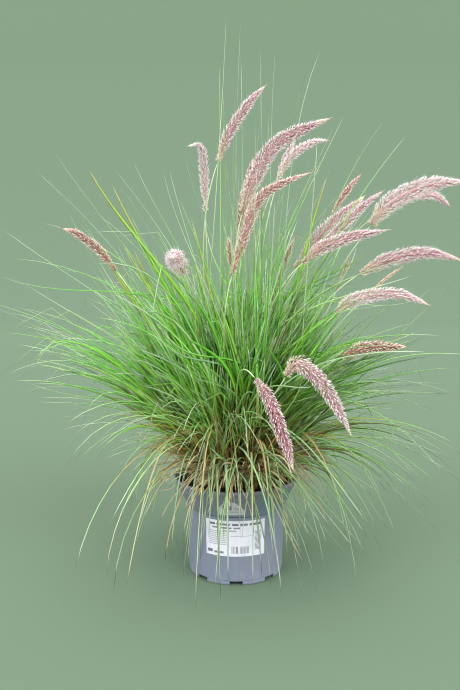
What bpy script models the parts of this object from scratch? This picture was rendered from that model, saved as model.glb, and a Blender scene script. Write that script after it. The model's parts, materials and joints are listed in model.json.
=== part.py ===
"""Potted fountain grass: a round nursery pot of peat, leaf tufts and flowering shoots with plumes.

Metres, +Z up. The origin is the middle of the pot's foot, on the surface it stands on, and the
front, where the labels are, faces -Y.
"""

import math
import random
from dataclasses import dataclass

import bmesh
import bpy
from mathutils import Matrix, Vector

# Pot
POT_HEIGHT = 0.156
RIM_RADIUS = 0.0985
RIM_THICKNESS = 0.0026
RIM_BEAD = 0.0045
RIM_BEAD_PROUD = 0.0012
RIM_BEAD_SLOPE = 0.0010
RIM_ROUNDING = 0.0008
RIM_INNER_STEP = 0.0008
COLLAR_BASE = 0.1115
COLLAR_BASE_RADIUS = 0.0795
BODY_TOP_RADIUS = 0.0770
BODY_FOOT_RADIUS = 0.0750
STEP_HEIGHT = 0.0006
WALL = 0.0015
INNER_BEND_LOW = COLLAR_BASE - 0.0020
INNER_BEND_HIGH = COLLAR_BASE + 0.0014
INNER_BEND_RADIUS = COLLAR_BASE_RADIUS - WALL - 0.0004
FOOT_RADIUS = 0.0742
FOOT_LINE = 0.0078
FOOT_RING_OUTER = 0.0725
FOOT_RING_INNER = 0.0690
FOOT_CHAMFER = 0.0025
FLOOR_UNDERSIDE = 0.0088
FLOOR_TOP = 0.0105
POT_SIDES = 40

# Drain notches round the foot, one of them at the front
NOTCH_COUNT = 8
NOTCH_WIDTH = 0.020
NOTCH_HEIGHT = 0.007
NOTCH_LENGTH = 0.012

# Soil
SOIL_TOP = 0.150
SOIL_TOP_RADIUS = 0.064
SOIL_EDGE = 0.145

# Stickers, each wrapped on a whole number of the pot's flat sides
LABEL_SIDES = 8
LABEL_LOW = 0.048
LABEL_HIGH = 0.1045
LABEL_THICKNESS = 0.0004
TAG_LOW = 0.1155
TAG_HIGH = (0.1270, 0.1425, 0.1370, 0.1230)
TAG_FIRST_SIDE = -2

# The gap kept between pieces that touch, and how much wider it is measured level on a sloping wall
GAP = 0.0003
SLOPE_SHARE = 1.4

# Shoots
SHOOT_BED_RADIUS = 0.040
SHOOT_SPACING = 0.0125
SPACING_PASSES = 400
FAR_LEAN = 0.220
CULM_FOOT_RADIUS = 0.0017
CULM_NECK_RADIUS = 0.0009
CULM_SIDES = 4
CULM_LEAVE_PULL = 0.40
CULM_ARRIVE_PULL = 0.30
COLLAR_LENGTH = 0.005
COLLARS = (0.20, 0.34, 0.50)
CULM_BENDS = (0.82,)

# Leaf tufts
TUFT_COUNT = 8
TUFT_RING_RADIUS = 0.053
TUFT_RADIUS = 0.0050
TUFT_TOP_RADIUS = 0.0032
TUFT_HEIGHT = 0.074
TUFT_LEAN = 0.018
TUFT_BEND = 1.5
TUFT_SIDES = 5
TUFT_COLLARS = (0.24, 0.46, 0.68, 0.88)

# Plumes
PLUME_SIDES = 6
PLUME_RINGS = 6
PLUME_FULLEST = 0.72
PLUME_BLUNTNESS = 0.55
PLUME_TIP_RADIUS = 0.0005

# Blades
BLADE_RINGS = (0.05, 0.28, 0.54, 0.78)
BLADE_WIDTH = 0.0070
BLADE_TIP_RADIUS = 0.0004
KEEL_SHARE = 0.16
LEAST_OUTWARD = 0.14
ROOT_SHARE = 0.42
ROOT_FLARE = 2.4
TIP_TAPER = 3
BLADES_PER_SHOOT = 3
BLADES_PER_TUFT = 9

# Room kept between blades and round the pot, and the box that the whole clump stays in
BLADE_MARGIN = 0.0012
RIM_CLEARANCE = 0.003
RIM_ZONE = COLLAR_BASE - 0.020
BODY_CLEARANCE = 0.004
OWN_ROOT_LENGTH = 0.030
BALL_STEP = 0.006
CELL = 0.034
REACH_X = 0.394
REACH_Y = 0.360
TOP = 0.857
BOX_SLACK = 1e-6
GROUND_CLEARANCE = 0.007
TRIES = 900
SEED = 11

# Mesh
MERGE_DISTANCE = 1e-6
SHARP_ANGLE = 35
BLADE_SHARP_ANGLE = 50
LEAST_CHORD = 1e-4

UP = Vector((0.0, 0.0, 1.0))


@dataclass(frozen=True)
class Look:
    """A plain finish: colour, roughness and metallic value."""

    colour: tuple
    roughness: float
    metallic: float = 0.0


@dataclass(frozen=True)
class Plume:
    """A flower head by its middle line, from its base to its tip, with its widest radius."""

    line: tuple
    radius: float
    look: Look
    lift: float = 78.0


@dataclass(frozen=True)
class Leaf:
    """One blade's course: its tip, its angle above level at the root and below level at the tip."""

    tip: tuple
    rise: float
    fall: float
    swell: float = 0.36
    width: float = BLADE_WIDTH


@dataclass(frozen=True)
class Habit:
    """A family of blades that grow alike, as the ranges that their courses are drawn from."""

    reach: tuple
    height: tuple
    rise: tuple
    fall: tuple
    spread: float
    swell: float = 0.36


PLASTIC = Look((0.245, 0.266, 0.330), 0.45)
PEAT = Look((0.030, 0.018, 0.012), 0.95)
PAPER = Look((0.82, 0.83, 0.84), 0.5)
GREEN = Look((0.085, 0.260, 0.030), 0.55)
SHEATH = Look((0.110, 0.170, 0.035), 0.65)
PINK = Look((0.560, 0.320, 0.360), 0.9)
PALE_PINK = Look((0.700, 0.500, 0.520), 0.9)
BEIGE_PINK = Look((0.600, 0.420, 0.380), 0.9)
RED_BROWN = Look((0.400, 0.160, 0.150), 0.9)
MAUVE = Look((0.520, 0.220, 0.300), 0.9)
BROWN_GREEN = Look((0.240, 0.200, 0.090), 0.9)

PLUMES = (
    Plume(((-0.049, 0.060, 0.571), (-0.051, 0.055, 0.633), (-0.056, 0.048, 0.670), (-0.080, 0.040, 0.669)),
          0.0092, PINK),
    Plume(((-0.028, 0.030, 0.646), (-0.011, 0.030, 0.688), (0.021, 0.030, 0.735), (0.049, 0.030, 0.763)),
          0.0098, PINK),
    Plume(((0.010, 0.000, 0.568), (0.024, 0.000, 0.609), (0.054, -0.004, 0.663), (0.103, -0.012, 0.690),
           (0.146, -0.020, 0.706)), 0.0138, PINK),
    Plume(((-0.006, -0.060, 0.475), (0.011, -0.060, 0.529), (0.030, -0.060, 0.580), (0.064, -0.065, 0.605),
           (0.116, -0.070, 0.624)), 0.0092, BEIGE_PINK),
    Plume(((0.070, 0.090, 0.626), (0.091, 0.090, 0.660), (0.125, 0.090, 0.682), (0.154, 0.090, 0.685)),
          0.0080, PALE_PINK),
    Plume(((0.071, 0.130, 0.623), (0.083, 0.135, 0.658), (0.102, 0.140, 0.696)), 0.0069, PINK),
    Plume(((0.002, 0.055, 0.528), (0.011, 0.058, 0.581), (0.023, 0.060, 0.635), (0.030, 0.062, 0.659)),
          0.0075, RED_BROWN),
    Plume(((-0.006, -0.020, 0.478), (-0.010, -0.022, 0.508), (-0.011, -0.024, 0.534)), 0.0048, BROWN_GREEN),
    Plume(((0.161, 0.120, 0.567), (0.188, 0.125, 0.608), (0.213, 0.130, 0.637)), 0.0052, BEIGE_PINK),
    Plume(((0.096, 0.050, 0.480), (0.134, 0.052, 0.532), (0.181, 0.055, 0.572), (0.209, 0.060, 0.598)),
          0.0121, PINK),
    Plume(((0.116, 0.000, 0.504), (0.154, 0.000, 0.538), (0.198, 0.000, 0.580), (0.228, 0.000, 0.602)),
          0.0078, PINK),
    Plume(((0.097, -0.060, 0.492), (0.125, -0.065, 0.514), (0.165, -0.070, 0.529), (0.224, -0.080, 0.541)),
          0.0092, PINK),
    Plume(((0.212, 0.030, 0.549), (0.242, 0.030, 0.583), (0.299, 0.025, 0.610), (0.364, 0.020, 0.614)),
          0.0149, PALE_PINK),
    Plume(((0.294, 0.095, 0.592), (0.322, 0.085, 0.597), (0.349, 0.075, 0.578)), 0.0083, PALE_PINK, 82.0),
    Plume(((0.187, -0.030, 0.475), (0.224, -0.030, 0.494), (0.282, -0.035, 0.506), (0.343, -0.040, 0.493)),
          0.0113, PINK),
    Plume(((0.194, -0.055, 0.444), (0.221, -0.055, 0.469), (0.251, -0.055, 0.491)), 0.0048, BROWN_GREEN),
    Plume(((0.144, -0.080, 0.419), (0.169, -0.085, 0.440), (0.229, -0.090, 0.449), (0.280, -0.100, 0.431)),
          0.0113, PALE_PINK),
    Plume(((0.062, 0.125, 0.422), (0.083, 0.125, 0.485), (0.102, 0.125, 0.535)), 0.0057, BROWN_GREEN),
    Plume(((0.168, 0.095, 0.440), (0.183, 0.098, 0.478), (0.191, 0.100, 0.503)), 0.0048, BROWN_GREEN),
    Plume(((0.150, -0.100, 0.358), (0.187, -0.105, 0.373), (0.246, -0.110, 0.375)), 0.0113, RED_BROWN, 66.0),
    Plume(((0.068, -0.150, 0.340), (0.085, -0.155, 0.358), (0.123, -0.170, 0.322), (0.158, -0.180, 0.257)),
          0.0138, PINK, 84.0),
    Plume(((0.025, -0.180, 0.341), (0.043, -0.195, 0.315), (0.064, -0.210, 0.258), (0.075, -0.215, 0.221)),
          0.0115, MAUVE, 80.0),
    Plume(((-0.183, -0.020, 0.480), (-0.209, -0.020, 0.512), (-0.241, -0.020, 0.535),
           (-0.265, -0.020, 0.543)), 0.0080, RED_BROWN),
    Plume(((-0.077, -0.062, 0.477), (-0.086, -0.095, 0.497), (-0.086, -0.170, 0.503)), 0.0144, PINK),
)

# Blades whose tips stand out in the outline: the upright ones, the wide ones, then the front
TALL_LEAVES = (
    Leaf((-0.015, 0.000, TOP), 88, -88, 0.30, 0.0045),
    Leaf((-0.026, 0.050, 0.797), 87, -84, 0.30, 0.0045),
    Leaf((0.007, 0.040, 0.810), 86, -86, 0.30, 0.0045),
    Leaf((0.061, 0.060, 0.819), 84, -84, 0.30, 0.0045),
    Leaf((0.129, 0.030, 0.815), 84, -66, 0.32, 0.0050),
    Leaf((0.159, -0.030, 0.709), 82, -64, 0.32, 0.0050),
    Leaf((0.239, 0.080, 0.716), 80, -52, 0.34, 0.0050),
    Leaf((0.259, 0.000, 0.685), 80, -50, 0.34, 0.0050),
    Leaf((0.144, 0.040, 0.628), 80, -72, 0.32, 0.0080),
    Leaf((-0.289, 0.040, 0.670), 74, -58, 0.34, 0.0050),
    Leaf((-0.294, -0.050, 0.627), 76, -42, 0.34, 0.0050),
    Leaf((-0.225, 0.000, 0.635), 76, -64, 0.34, 0.0085),
    Leaf((-0.198, 0.050, 0.616), 76, -66, 0.34, 0.0085),
    Leaf((-0.173, -0.080, 0.625), 80, -50, 0.34, 0.0050),
    Leaf((-0.168, 0.100, 0.653), 80, -66, 0.32, 0.0050),
    Leaf((-0.098, -0.050, 0.627), 84, -76, 0.32, 0.0050),
    Leaf((-0.085, 0.100, 0.665), 84, -76, 0.32, 0.0050),
    Leaf((-0.372, 0.050, 0.542), 70, -36, 0.36, 0.0050),
    Leaf((-0.328, 0.100, 0.555), 72, -10, 0.36, 0.0050),
    Leaf((-0.335, -0.050, 0.499), 72, -4, 0.38, 0.0055),
    Leaf((-0.394, 0.100, 0.465), 68, -22, 0.36, 0.0050),
    Leaf((0.251, -0.100, 0.476), 76, -20, 0.38, 0.0055),
    Leaf((0.314, -0.050, 0.383), 70, 4, 0.40, 0.0055),
)
WIDE_LEAVES = (
    Leaf((REACH_X, 0.040, 0.338), 66, 10, 0.40, 0.0055),
    Leaf((-REACH_X, 0.000, 0.433), 66, -16, 0.38, 0.0055),
    Leaf((0.046, REACH_Y, 0.388), 66, 10, 0.40, 0.0055),
    Leaf((-0.064, -REACH_Y, 0.308), 66, 24, 0.40, 0.0055),
    Leaf((0.350, 0.000, 0.283), 62, 20, 0.40, 0.0055),
    Leaf((0.359, 0.100, 0.231), 58, 16, 0.40, 0.0055),
    Leaf((0.344, -0.040, 0.211), 56, 30, 0.42, 0.0055),
    Leaf((0.352, 0.050, 0.132), 56, 52, 0.46, 0.0055),
    Leaf((0.303, -0.080, 0.161), 58, 44, 0.44, 0.0055),
    Leaf((0.213, -0.150, 0.194), 60, 30, 0.42, 0.0055),
    Leaf((0.253, 0.080, 0.081), 58, 66, 0.50, 0.0055),
    Leaf((0.213, -0.100, 0.093), 56, 62, 0.50, 0.0055),
    Leaf((0.270, 0.030, 0.028), 58, 70, 0.52, 0.0055),
    Leaf((0.191, -0.120, 0.063), 56, 66, 0.52, 0.0055),
    Leaf((-0.343, -0.080, 0.425), 66, -14, 0.38, 0.0055),
    Leaf((-0.386, 0.060, 0.376), 64, -4, 0.38, 0.0055),
    Leaf((-0.365, -0.020, 0.312), 62, 34, 0.40, 0.0055),
    Leaf((-0.298, -0.080, 0.341), 66, 70, 0.40, 0.0055),
    Leaf((-0.330, 0.050, 0.268), 50, 4, 0.38, 0.0055),
    Leaf((-0.261, -0.080, 0.246), 48, 14, 0.38, 0.0055),
    Leaf((-0.234, -0.170, 0.219), 72, 58, 0.48, 0.0060),
    Leaf((-0.228, -0.160, 0.063), 62, 76, 0.54, 0.0060),
    Leaf((-0.178, -0.200, 0.072), 60, 84, 0.54, 0.0060),
    Leaf((-0.127, -0.200, 0.200), 66, 64, 0.46, 0.0060),
)
FRONT_LEAVES = (
    Leaf((-0.070, -0.150, 0.060), 66, 86, 0.56, 0.0075),
    Leaf((-0.012, -0.170, 0.049), 66, 86, 0.58, 0.0075),
    Leaf((-0.030, -0.185, 0.042), 68, 86, 0.58, 0.0070),
    Leaf((0.091, -0.150, 0.069), 66, 82, 0.56, 0.0080),
    Leaf((-0.057, -0.200, 0.020), 60, 84, 0.56, 0.0060),
    Leaf((0.022, -0.190, 0.049), 60, 84, 0.56, 0.0060),
    Leaf((0.125, -0.150, 0.060), 60, 80, 0.56, 0.0060),
    Leaf((-0.040, -0.139, 0.103), 50, 76, 0.52, 0.0060),
    Leaf((0.008, -0.135, 0.098), 56, 80, 0.52, 0.0060),
    Leaf((0.056, -0.130, 0.108), 48, 76, 0.52, 0.0060),
)

SHOOT_HABITS = (
    Habit((0.06, 0.20), (0.468, 0.708), (80, 86), (-84, -66), 50, 0.32),
    Habit((0.14, 0.30), (0.408, 0.608), (72, 80), (-60, -20), 60, 0.36),
    Habit((0.20, 0.34), (0.328, 0.508), (66, 76), (-40, 10), 60, 0.38),
)
TUFT_HABITS = (
    Habit((0.10, 0.24), (0.368, 0.568), (74, 84), (-70, -20), 60, 0.34),
    Habit((0.22, 0.35), (0.228, 0.468), (56, 70), (-20, 30), 70, 0.38),
    Habit((0.22, 0.34), (0.128, 0.248), (46, 60), (20, 60), 70, 0.44),
    Habit((0.14, 0.26), (0.028, 0.108), (54, 66), (70, 86), 60, 0.54),
    Habit((0.11, 0.16), (0.068, 0.168), (34, 52), (40, 80), 60, 0.50),
)


class Room:
    """Remembers where pieces run, as balls along their courses, and tells what is still free."""

    def __init__(self):
        self.cells = {}

    def keep(self, balls, owner):
        """Note the balls of a piece that has been placed."""
        for centre, radius in balls:
            self.cells.setdefault(self.cell_of(centre), []).append((centre, radius, owner))

    def is_free(self, balls, owner, near=None):
        """Whether the balls clear all that is placed; the owner's own balls count away from near."""
        for centre, radius in balls:
            by_root = near is not None and (centre - near).length < OWN_ROOT_LENGTH
            for other, other_radius, other_owner in self.neighbours(centre):
                if by_root and other_owner == owner:
                    continue
                if (centre - other).length < radius + other_radius + BLADE_MARGIN:
                    return False
        return True

    def neighbours(self, centre):
        """Every ball kept in the cells round this place."""
        x, y, z = self.cell_of(centre)
        for dx in (-1, 0, 1):
            for dy in (-1, 0, 1):
                for dz in (-1, 0, 1):
                    yield from self.cells.get((x + dx, y + dy, z + dz), ())

    @staticmethod
    def cell_of(centre):
        """The cell that this place is in."""
        return tuple(math.floor(value / CELL) for value in centre)


class Shoot:
    """A culm or a leafy stub, built ring by ring, with sides that blades can grow from."""

    def __init__(self, name, line, radii, sides, collars):
        self.name = name
        self.bm = bmesh.new()
        self.line = line
        frames = frames_along(line)
        frames[0] = (frames[0][0], UP.cross(frames[0][0]))
        self.rings = [
            ring(self.bm, place, across, over, radius, sides)
            for place, (across, over), radius in zip(line, frames, radii)
        ]
        loft(self.bm, self.rings)
        cap(self.bm, self.rings[0], facing_back=True)
        cap(self.bm, self.rings[-1])
        self.bm.normal_update()
        self.free_faces = [self.faces_between(low, low + 1) for low in collars]

    def faces_between(self, low, high):
        """The side faces that join one ring to the next."""
        corners = set(self.rings[low]) | set(self.rings[high])
        return [face for face in self.bm.faces if len(face.verts) == 4 and set(face.verts) <= corners]

    def best_face(self, level, leaf):
        """The free side face of this collar that the blade would leave most squarely, if any suits."""
        start, leave = arc(self.line[1 + 2 * level], leaf)[:2]
        heading = (leave - start).normalized()
        faces = self.free_faces[level]
        best = max(faces, key=lambda face: face.normal.dot(heading), default=None)
        return best if best and best.normal.dot(heading) > LEAST_OUTWARD else None

    def grow(self, level, face, places, widths):
        """Grow a blade out of half of this face, through its places, to a point."""
        self.free_faces[level].remove(face)
        corners = list(face.verts)
        self.bm.faces.remove(face)
        self.bm.faces.new((corners[0], corners[2], corners[3]))
        loops = [corners[:3]]
        frames = frames_along([root_of(corners)] + places)[1:]
        for place, (across, over), width in zip(places[:-1], frames, widths):
            side, keel = across * width / 2, over * width * KEEL_SHARE
            edges = [place + side, place - side, place - keel]
            if len(loops) == 1:
                turn = nearest_turn(loops[0], edges)
            loops.append([self.bm.verts.new(edge) for edge in edges[turn:] + edges[:turn]])
        loops.append([self.bm.verts.new(places[-1])])
        loft(self.bm, loops)

    def blade_count(self):
        """How many blades the shoot has so far."""
        return sum(len(self.rings[0]) - len(faces) for faces in self.free_faces)

    def finish(self, look):
        """Turn the shoot into a named object."""
        return add_object(self.name, self.bm, look, BLADE_SHARP_ANGLE)


def main():
    """Build the whole part."""
    clear_scene()
    make_pot()
    make_soil()
    make_label()
    make_small_label()
    room = Room()
    flowers = make_flowering_shoots(room)
    tufts = make_tufts(room)
    grow_chosen_leaves(room, flowers, tufts)
    grow_other_leaves(room, flowers, tufts)
    for shoot in flowers:
        shoot.finish(GREEN)
    for tuft in tufts:
        tuft.finish(SHEATH)


def clear_scene():
    """Remove whatever the scene holds."""
    for item in list(bpy.data.objects):
        bpy.data.objects.remove(item, do_unlink=True)


def add_object(name, bm, look, sharp_angle=SHARP_ANGLE):
    """Make a named object with its own plain material from a finished bmesh."""
    bmesh.ops.triangulate(bm, faces=bm.faces[:])
    bmesh.ops.recalc_face_normals(bm, faces=bm.faces[:])
    if bm.calc_volume(signed=True) < 0:
        bmesh.ops.reverse_faces(bm, faces=bm.faces[:])
    mesh = bpy.data.meshes.new(name)
    bm.to_mesh(mesh)
    bm.free()
    mesh.shade_smooth()
    mesh.set_sharp_from_angle(angle=math.radians(sharp_angle))
    item = bpy.data.objects.new(name, mesh)
    bpy.context.scene.collection.objects.link(item)
    mesh.materials.append(material_for(name, look))
    return item


def material_for(name, look):
    """A Principled material of its own for this piece."""
    material = bpy.data.materials.new(name)
    material.use_nodes = True
    shader = material.node_tree.nodes["Principled BSDF"]
    shader.inputs["Base Color"].default_value = (*look.colour, 1.0)
    shader.inputs["Roughness"].default_value = look.roughness
    shader.inputs["Metallic"].default_value = look.metallic
    return material


def loft(bm, rings):
    """Join each ring of corners to the next; a ring of one corner closes the surface to a point."""
    for low, high in zip(rings, rings[1:]):
        count = max(len(low), len(high))
        for i in range(count):
            j = (i + 1) % count
            corners = (low[i % len(low)], low[j % len(low)], high[j % len(high)], high[i % len(high)])
            bm.faces.new(list(dict.fromkeys(corners)))


def cap(bm, corners, facing_back=False):
    """Close the end of a loft with one face."""
    bm.faces.new(list(reversed(corners)) if facing_back else corners)


def ring(bm, centre, across, over, radius, sides):
    """A ring of corners round a centre, in the plane of the two directions."""
    turns = [2 * math.pi * (side + 0.5) / sides for side in range(sides)]
    return [
        bm.verts.new(centre + radius * (math.cos(turn) * across + math.sin(turn) * over))
        for turn in turns
    ]


def frames_along(line):
    """For each place on a line, the level direction across it and the direction over it."""
    chord = line[-1] - line[0]
    level = Vector((chord.x, chord.y, 0.0))
    if level.length < LEAST_CHORD:
        level = Vector((1.0, 0.0, 0.0))
    side = UP.cross(level.normalized())
    frames = []
    for index in range(len(line)):
        along = line[min(index + 1, len(line) - 1)] - line[max(index - 1, 0)]
        over = along.normalized().cross(side).normalized()
        frames.append((side.copy(), over))
    return frames


def root_of(corners):
    """The middle of the half face that a blade grows from."""
    return (corners[0].co + corners[1].co + corners[2].co) / 3


def nearest_turn(corners, edges):
    """How far to turn a blade's first three edges so that they lie nearest to the root's corners."""
    def misfit(turn):
        turned_edges = edges[turn:] + edges[:turn]
        return sum((corner.co - edge).length for corner, edge in zip(corners, turned_edges))

    return min(range(len(edges)), key=misfit)


def level_direction(azimuth):
    """The level direction at this angle from +X."""
    return Vector((math.cos(azimuth), math.sin(azimuth), 0.0))


def arc(root, leaf):
    """The control points of a blade's course from its root to its tip, in one upright plane."""
    tip = Vector(leaf.tip)
    chord = tip - root
    outward = level_direction(math.atan2(chord.y, chord.x))
    rise, fall = math.radians(leaf.rise), math.radians(leaf.fall)
    pull = leaf.swell * chord.length
    leave = root + pull * (math.cos(rise) * outward + math.sin(rise) * UP)
    arrive = tip - pull * (math.cos(fall) * outward - math.sin(fall) * UP)
    return root, leave, arrive, tip


def bezier_at(controls, share):
    """The place at this share of a cubic curve's parameter."""
    a, b, c, d = controls
    rest = 1 - share
    return rest ** 3 * a + 3 * rest ** 2 * share * b + 3 * rest * share ** 2 * c + share ** 3 * d


def blade_places(root, leaf):
    """Where a blade's rings and its tip are."""
    controls = arc(root, leaf)
    return [bezier_at(controls, share) for share in (*BLADE_RINGS, 1.0)]


def blade_widths(width):
    """How wide the blade is at each of its rings."""
    return [
        width * min(1.0, ROOT_SHARE + ROOT_FLARE * share) * math.sqrt(1.0 - share ** TIP_TAPER)
        for share in BLADE_RINGS
    ]


def balls_along(places, radii):
    """Balls close enough along a line of places to stand for the piece that follows it."""
    balls = []
    for start, end, low, high in zip(places, places[1:], radii, radii[1:]):
        steps = max(1, math.ceil((end - start).length / BALL_STEP))
        for step in range(steps):
            share = step / steps
            balls.append((start.lerp(end, share), low + (high - low) * share))
    balls.append((places[-1], radii[-1]))
    return balls


def smooth_line(points, count):
    """Evenly counted places on a smooth curve through the points, its ends included."""
    knots = [Vector(point) for point in points]
    padded = [2 * knots[0] - knots[1], *knots, 2 * knots[-1] - knots[-2]]
    places = []
    for index in range(count):
        at = index / (count - 1) * (len(knots) - 1)
        span = min(int(at), len(knots) - 2)
        before, start, end, after = padded[span:span + 4]
        controls = (start, start + (end - before) / 6, end - (after - start) / 6, end)
        places.append(bezier_at(controls, at - span))
    return places


def pot_profile():
    """The pot's half section, from the middle of its underside round the wall to its floor."""
    return (
        (0.0, FLOOR_UNDERSIDE),
        (FOOT_RING_INNER, FLOOR_UNDERSIDE),
        (FOOT_RING_INNER, 0.0),
        (FOOT_RING_OUTER, 0.0),
        (FOOT_RADIUS, FOOT_CHAMFER),
        (FOOT_RADIUS, FOOT_LINE),
        (BODY_FOOT_RADIUS, FOOT_LINE + STEP_HEIGHT),
        (BODY_TOP_RADIUS, COLLAR_BASE - STEP_HEIGHT),
        (COLLAR_BASE_RADIUS, COLLAR_BASE),
        (RIM_RADIUS - RIM_BEAD_PROUD, POT_HEIGHT - RIM_BEAD - RIM_BEAD_SLOPE),
        (RIM_RADIUS, POT_HEIGHT - RIM_BEAD),
        (RIM_RADIUS, POT_HEIGHT - RIM_ROUNDING),
        (RIM_RADIUS - RIM_ROUNDING, POT_HEIGHT),
        (RIM_RADIUS - RIM_THICKNESS, POT_HEIGHT),
        (RIM_RADIUS - RIM_THICKNESS - RIM_INNER_STEP, POT_HEIGHT - RIM_BEAD),
        (INNER_BEND_RADIUS, INNER_BEND_HIGH),
        (BODY_TOP_RADIUS - WALL, INNER_BEND_LOW),
        (BODY_FOOT_RADIUS - WALL, FLOOR_TOP),
        (0.0, FLOOR_TOP),
    )


def turned(profile, sides):
    """A closed solid turned from a half section that starts and ends on the axis."""
    bm = bmesh.new()
    corners = [bm.verts.new((radius, 0.0, height)) for radius, height in profile]
    edges = [bm.edges.new(pair) for pair in zip(corners, corners[1:])]
    bmesh.ops.spin(
        bm, geom=corners + edges, cent=(0, 0, 0), axis=(0, 0, 1), angle=2 * math.pi, steps=sides,
        use_merge=True,
    )
    bmesh.ops.remove_doubles(bm, verts=bm.verts[:], dist=MERGE_DISTANCE)
    return bm


def make_pot():
    """The nursery pot, with the drain notches cut through its foot ring."""
    pot = add_object("pot", turned(pot_profile(), POT_SIDES), PLASTIC)
    cut = pot.modifiers.new("drain_notches", "BOOLEAN")
    cut.operation = "DIFFERENCE"
    cut.object = notch_cutters()


def notch_cutters():
    """A guide object of short blocks, one where each drain notch goes."""
    bm = bmesh.new()
    middle = (FOOT_RING_INNER + FOOT_RADIUS) / 2
    depth = NOTCH_HEIGHT + FOOT_CHAMFER
    for index in range(NOTCH_COUNT):
        azimuth = 2 * math.pi * index / NOTCH_COUNT
        block = bmesh.ops.create_cube(bm, size=1.0)["verts"]
        bmesh.ops.scale(bm, verts=block, vec=(NOTCH_LENGTH, NOTCH_WIDTH, depth))
        bmesh.ops.translate(bm, verts=block, vec=(middle, 0.0, NOTCH_HEIGHT - depth / 2))
        bmesh.ops.rotate(bm, verts=block, cent=(0, 0, 0), matrix=Matrix.Rotation(azimuth, 3, "Z"))
    cutters = add_object("drain_notch_cutters", bm, PLASTIC)
    cutters.hide_render = True
    cutters.display_type = "WIRE"
    return cutters


def wall_inside(height):
    """The pot's inner radius where the collar is, at this height."""
    share = (height - INNER_BEND_HIGH) / (POT_HEIGHT - RIM_BEAD - INNER_BEND_HIGH)
    high_radius = RIM_RADIUS - RIM_THICKNESS - RIM_INNER_STEP
    return INNER_BEND_RADIUS + (high_radius - INNER_BEND_RADIUS) * share


def make_soil():
    """The peat, which fills the pot to just below the rim and is flat where the shoots stand."""
    profile = (
        (0.0, FLOOR_TOP + GAP),
        (BODY_FOOT_RADIUS - WALL - GAP, FLOOR_TOP + GAP),
        (BODY_TOP_RADIUS - WALL - GAP, INNER_BEND_LOW),
        (INNER_BEND_RADIUS - SLOPE_SHARE * GAP, INNER_BEND_HIGH),
        (wall_inside(SOIL_EDGE) - SLOPE_SHARE * GAP, SOIL_EDGE),
        (SOIL_TOP_RADIUS, SOIL_TOP),
        (0.0, SOIL_TOP),
    )
    add_object("soil", turned(profile, POT_SIDES), PEAT)


def wrapped_sheet(name, first_side, lows, highs, radius_at, look):
    """A thin sheet that follows the pot's flat sides, from one of its corners to the next."""
    bm = bmesh.new()
    rings = []
    for column, (low, high) in enumerate(zip(lows, highs)):
        azimuth = -math.pi / 2 + (first_side + column) * 2 * math.pi / POT_SIDES
        outward = level_direction(azimuth)
        corners = []
        for height, depth in ((low, GAP), (low, GAP + LABEL_THICKNESS),
                              (high, GAP + LABEL_THICKNESS), (high, GAP)):
            corners.append(bm.verts.new(outward * (radius_at(height) + depth) + UP * height))
        rings.append(corners)
    loft(bm, rings)
    cap(bm, rings[0], facing_back=True)
    cap(bm, rings[-1])
    return add_object(name, bm, look)


def body_radius(height):
    """The pot's outer radius on the body at this height."""
    low, high = FOOT_LINE + STEP_HEIGHT, COLLAR_BASE - STEP_HEIGHT
    return BODY_FOOT_RADIUS + (BODY_TOP_RADIUS - BODY_FOOT_RADIUS) * (height - low) / (high - low)


def collar_radius(height):
    """The pot's outer radius on the collar at this height."""
    high = POT_HEIGHT - RIM_BEAD - RIM_BEAD_SLOPE
    flare = RIM_RADIUS - RIM_BEAD_PROUD - COLLAR_BASE_RADIUS
    return COLLAR_BASE_RADIUS + flare * (height - COLLAR_BASE) / (high - COLLAR_BASE)


def make_label():
    """The large sticker round the front of the body."""
    lows, highs = [LABEL_LOW] * (LABEL_SIDES + 1), [LABEL_HIGH] * (LABEL_SIDES + 1)
    wrapped_sheet("label", -LABEL_SIDES // 2, lows, highs, body_radius, PAPER)


def make_small_label():
    """The small four-cornered sticker on the front of the collar."""
    wrapped_sheet("small_label", TAG_FIRST_SIDE, [TAG_LOW] * len(TAG_HIGH), TAG_HIGH, collar_radius, PAPER)


def plume_line(plume):
    """The places that a plume's rings stand at, its two ends included."""
    return smooth_line(plume.line, PLUME_RINGS + 2)


def plume_radius(plume, share):
    """How thick a plume is at this share of its length: full in the middle, narrow at both ends."""
    return plume.radius * math.sin(math.pi * share ** PLUME_FULLEST) ** PLUME_BLUNTNESS


def make_plume(name, plume, room):
    """A flower head as one spindle that holds its bristles, starting just past the culm's end."""
    line = plume_line(plume)
    along = (line[1] - line[0]).normalized()
    line[0] = line[0] + along * GAP
    bm = bmesh.new()
    rings = [[bm.verts.new(line[0])]]
    radii = [CULM_NECK_RADIUS]
    for index, (across, over) in enumerate(frames_along(line)[1:-1], start=1):
        radius = plume_radius(plume, index / (PLUME_RINGS + 1))
        rings.append(ring(bm, line[index], across, over, radius, PLUME_SIDES))
        radii.append(radius)
    rings.append([bm.verts.new(line[-1])])
    radii.append(PLUME_TIP_RADIUS)
    loft(bm, rings)
    add_object(name, bm, plume.look)
    room.keep(balls_along(line, radii), name)


def shoot_feet():
    """Where each flowering shoot stands: towards its plume, moved apart until all have room."""
    feet = []
    for plume in PLUMES:
        neck = Vector((plume.line[0][0], plume.line[0][1]))
        lean = min(1.0, neck.length / FAR_LEAN)
        feet.append(neck.normalized() * SHOOT_BED_RADIUS * lean)
    for _ in range(SPACING_PASSES):
        for first in range(len(feet)):
            for second in range(first + 1, len(feet)):
                apart = feet[second] - feet[first]
                short = SHOOT_SPACING - apart.length
                if short > 0:
                    push = apart.normalized() * short / 2
                    feet[first] -= push
                    feet[second] += push
        for foot in feet:
            foot *= min(1.0, SHOOT_BED_RADIUS / foot.length)
    return feet


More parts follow.
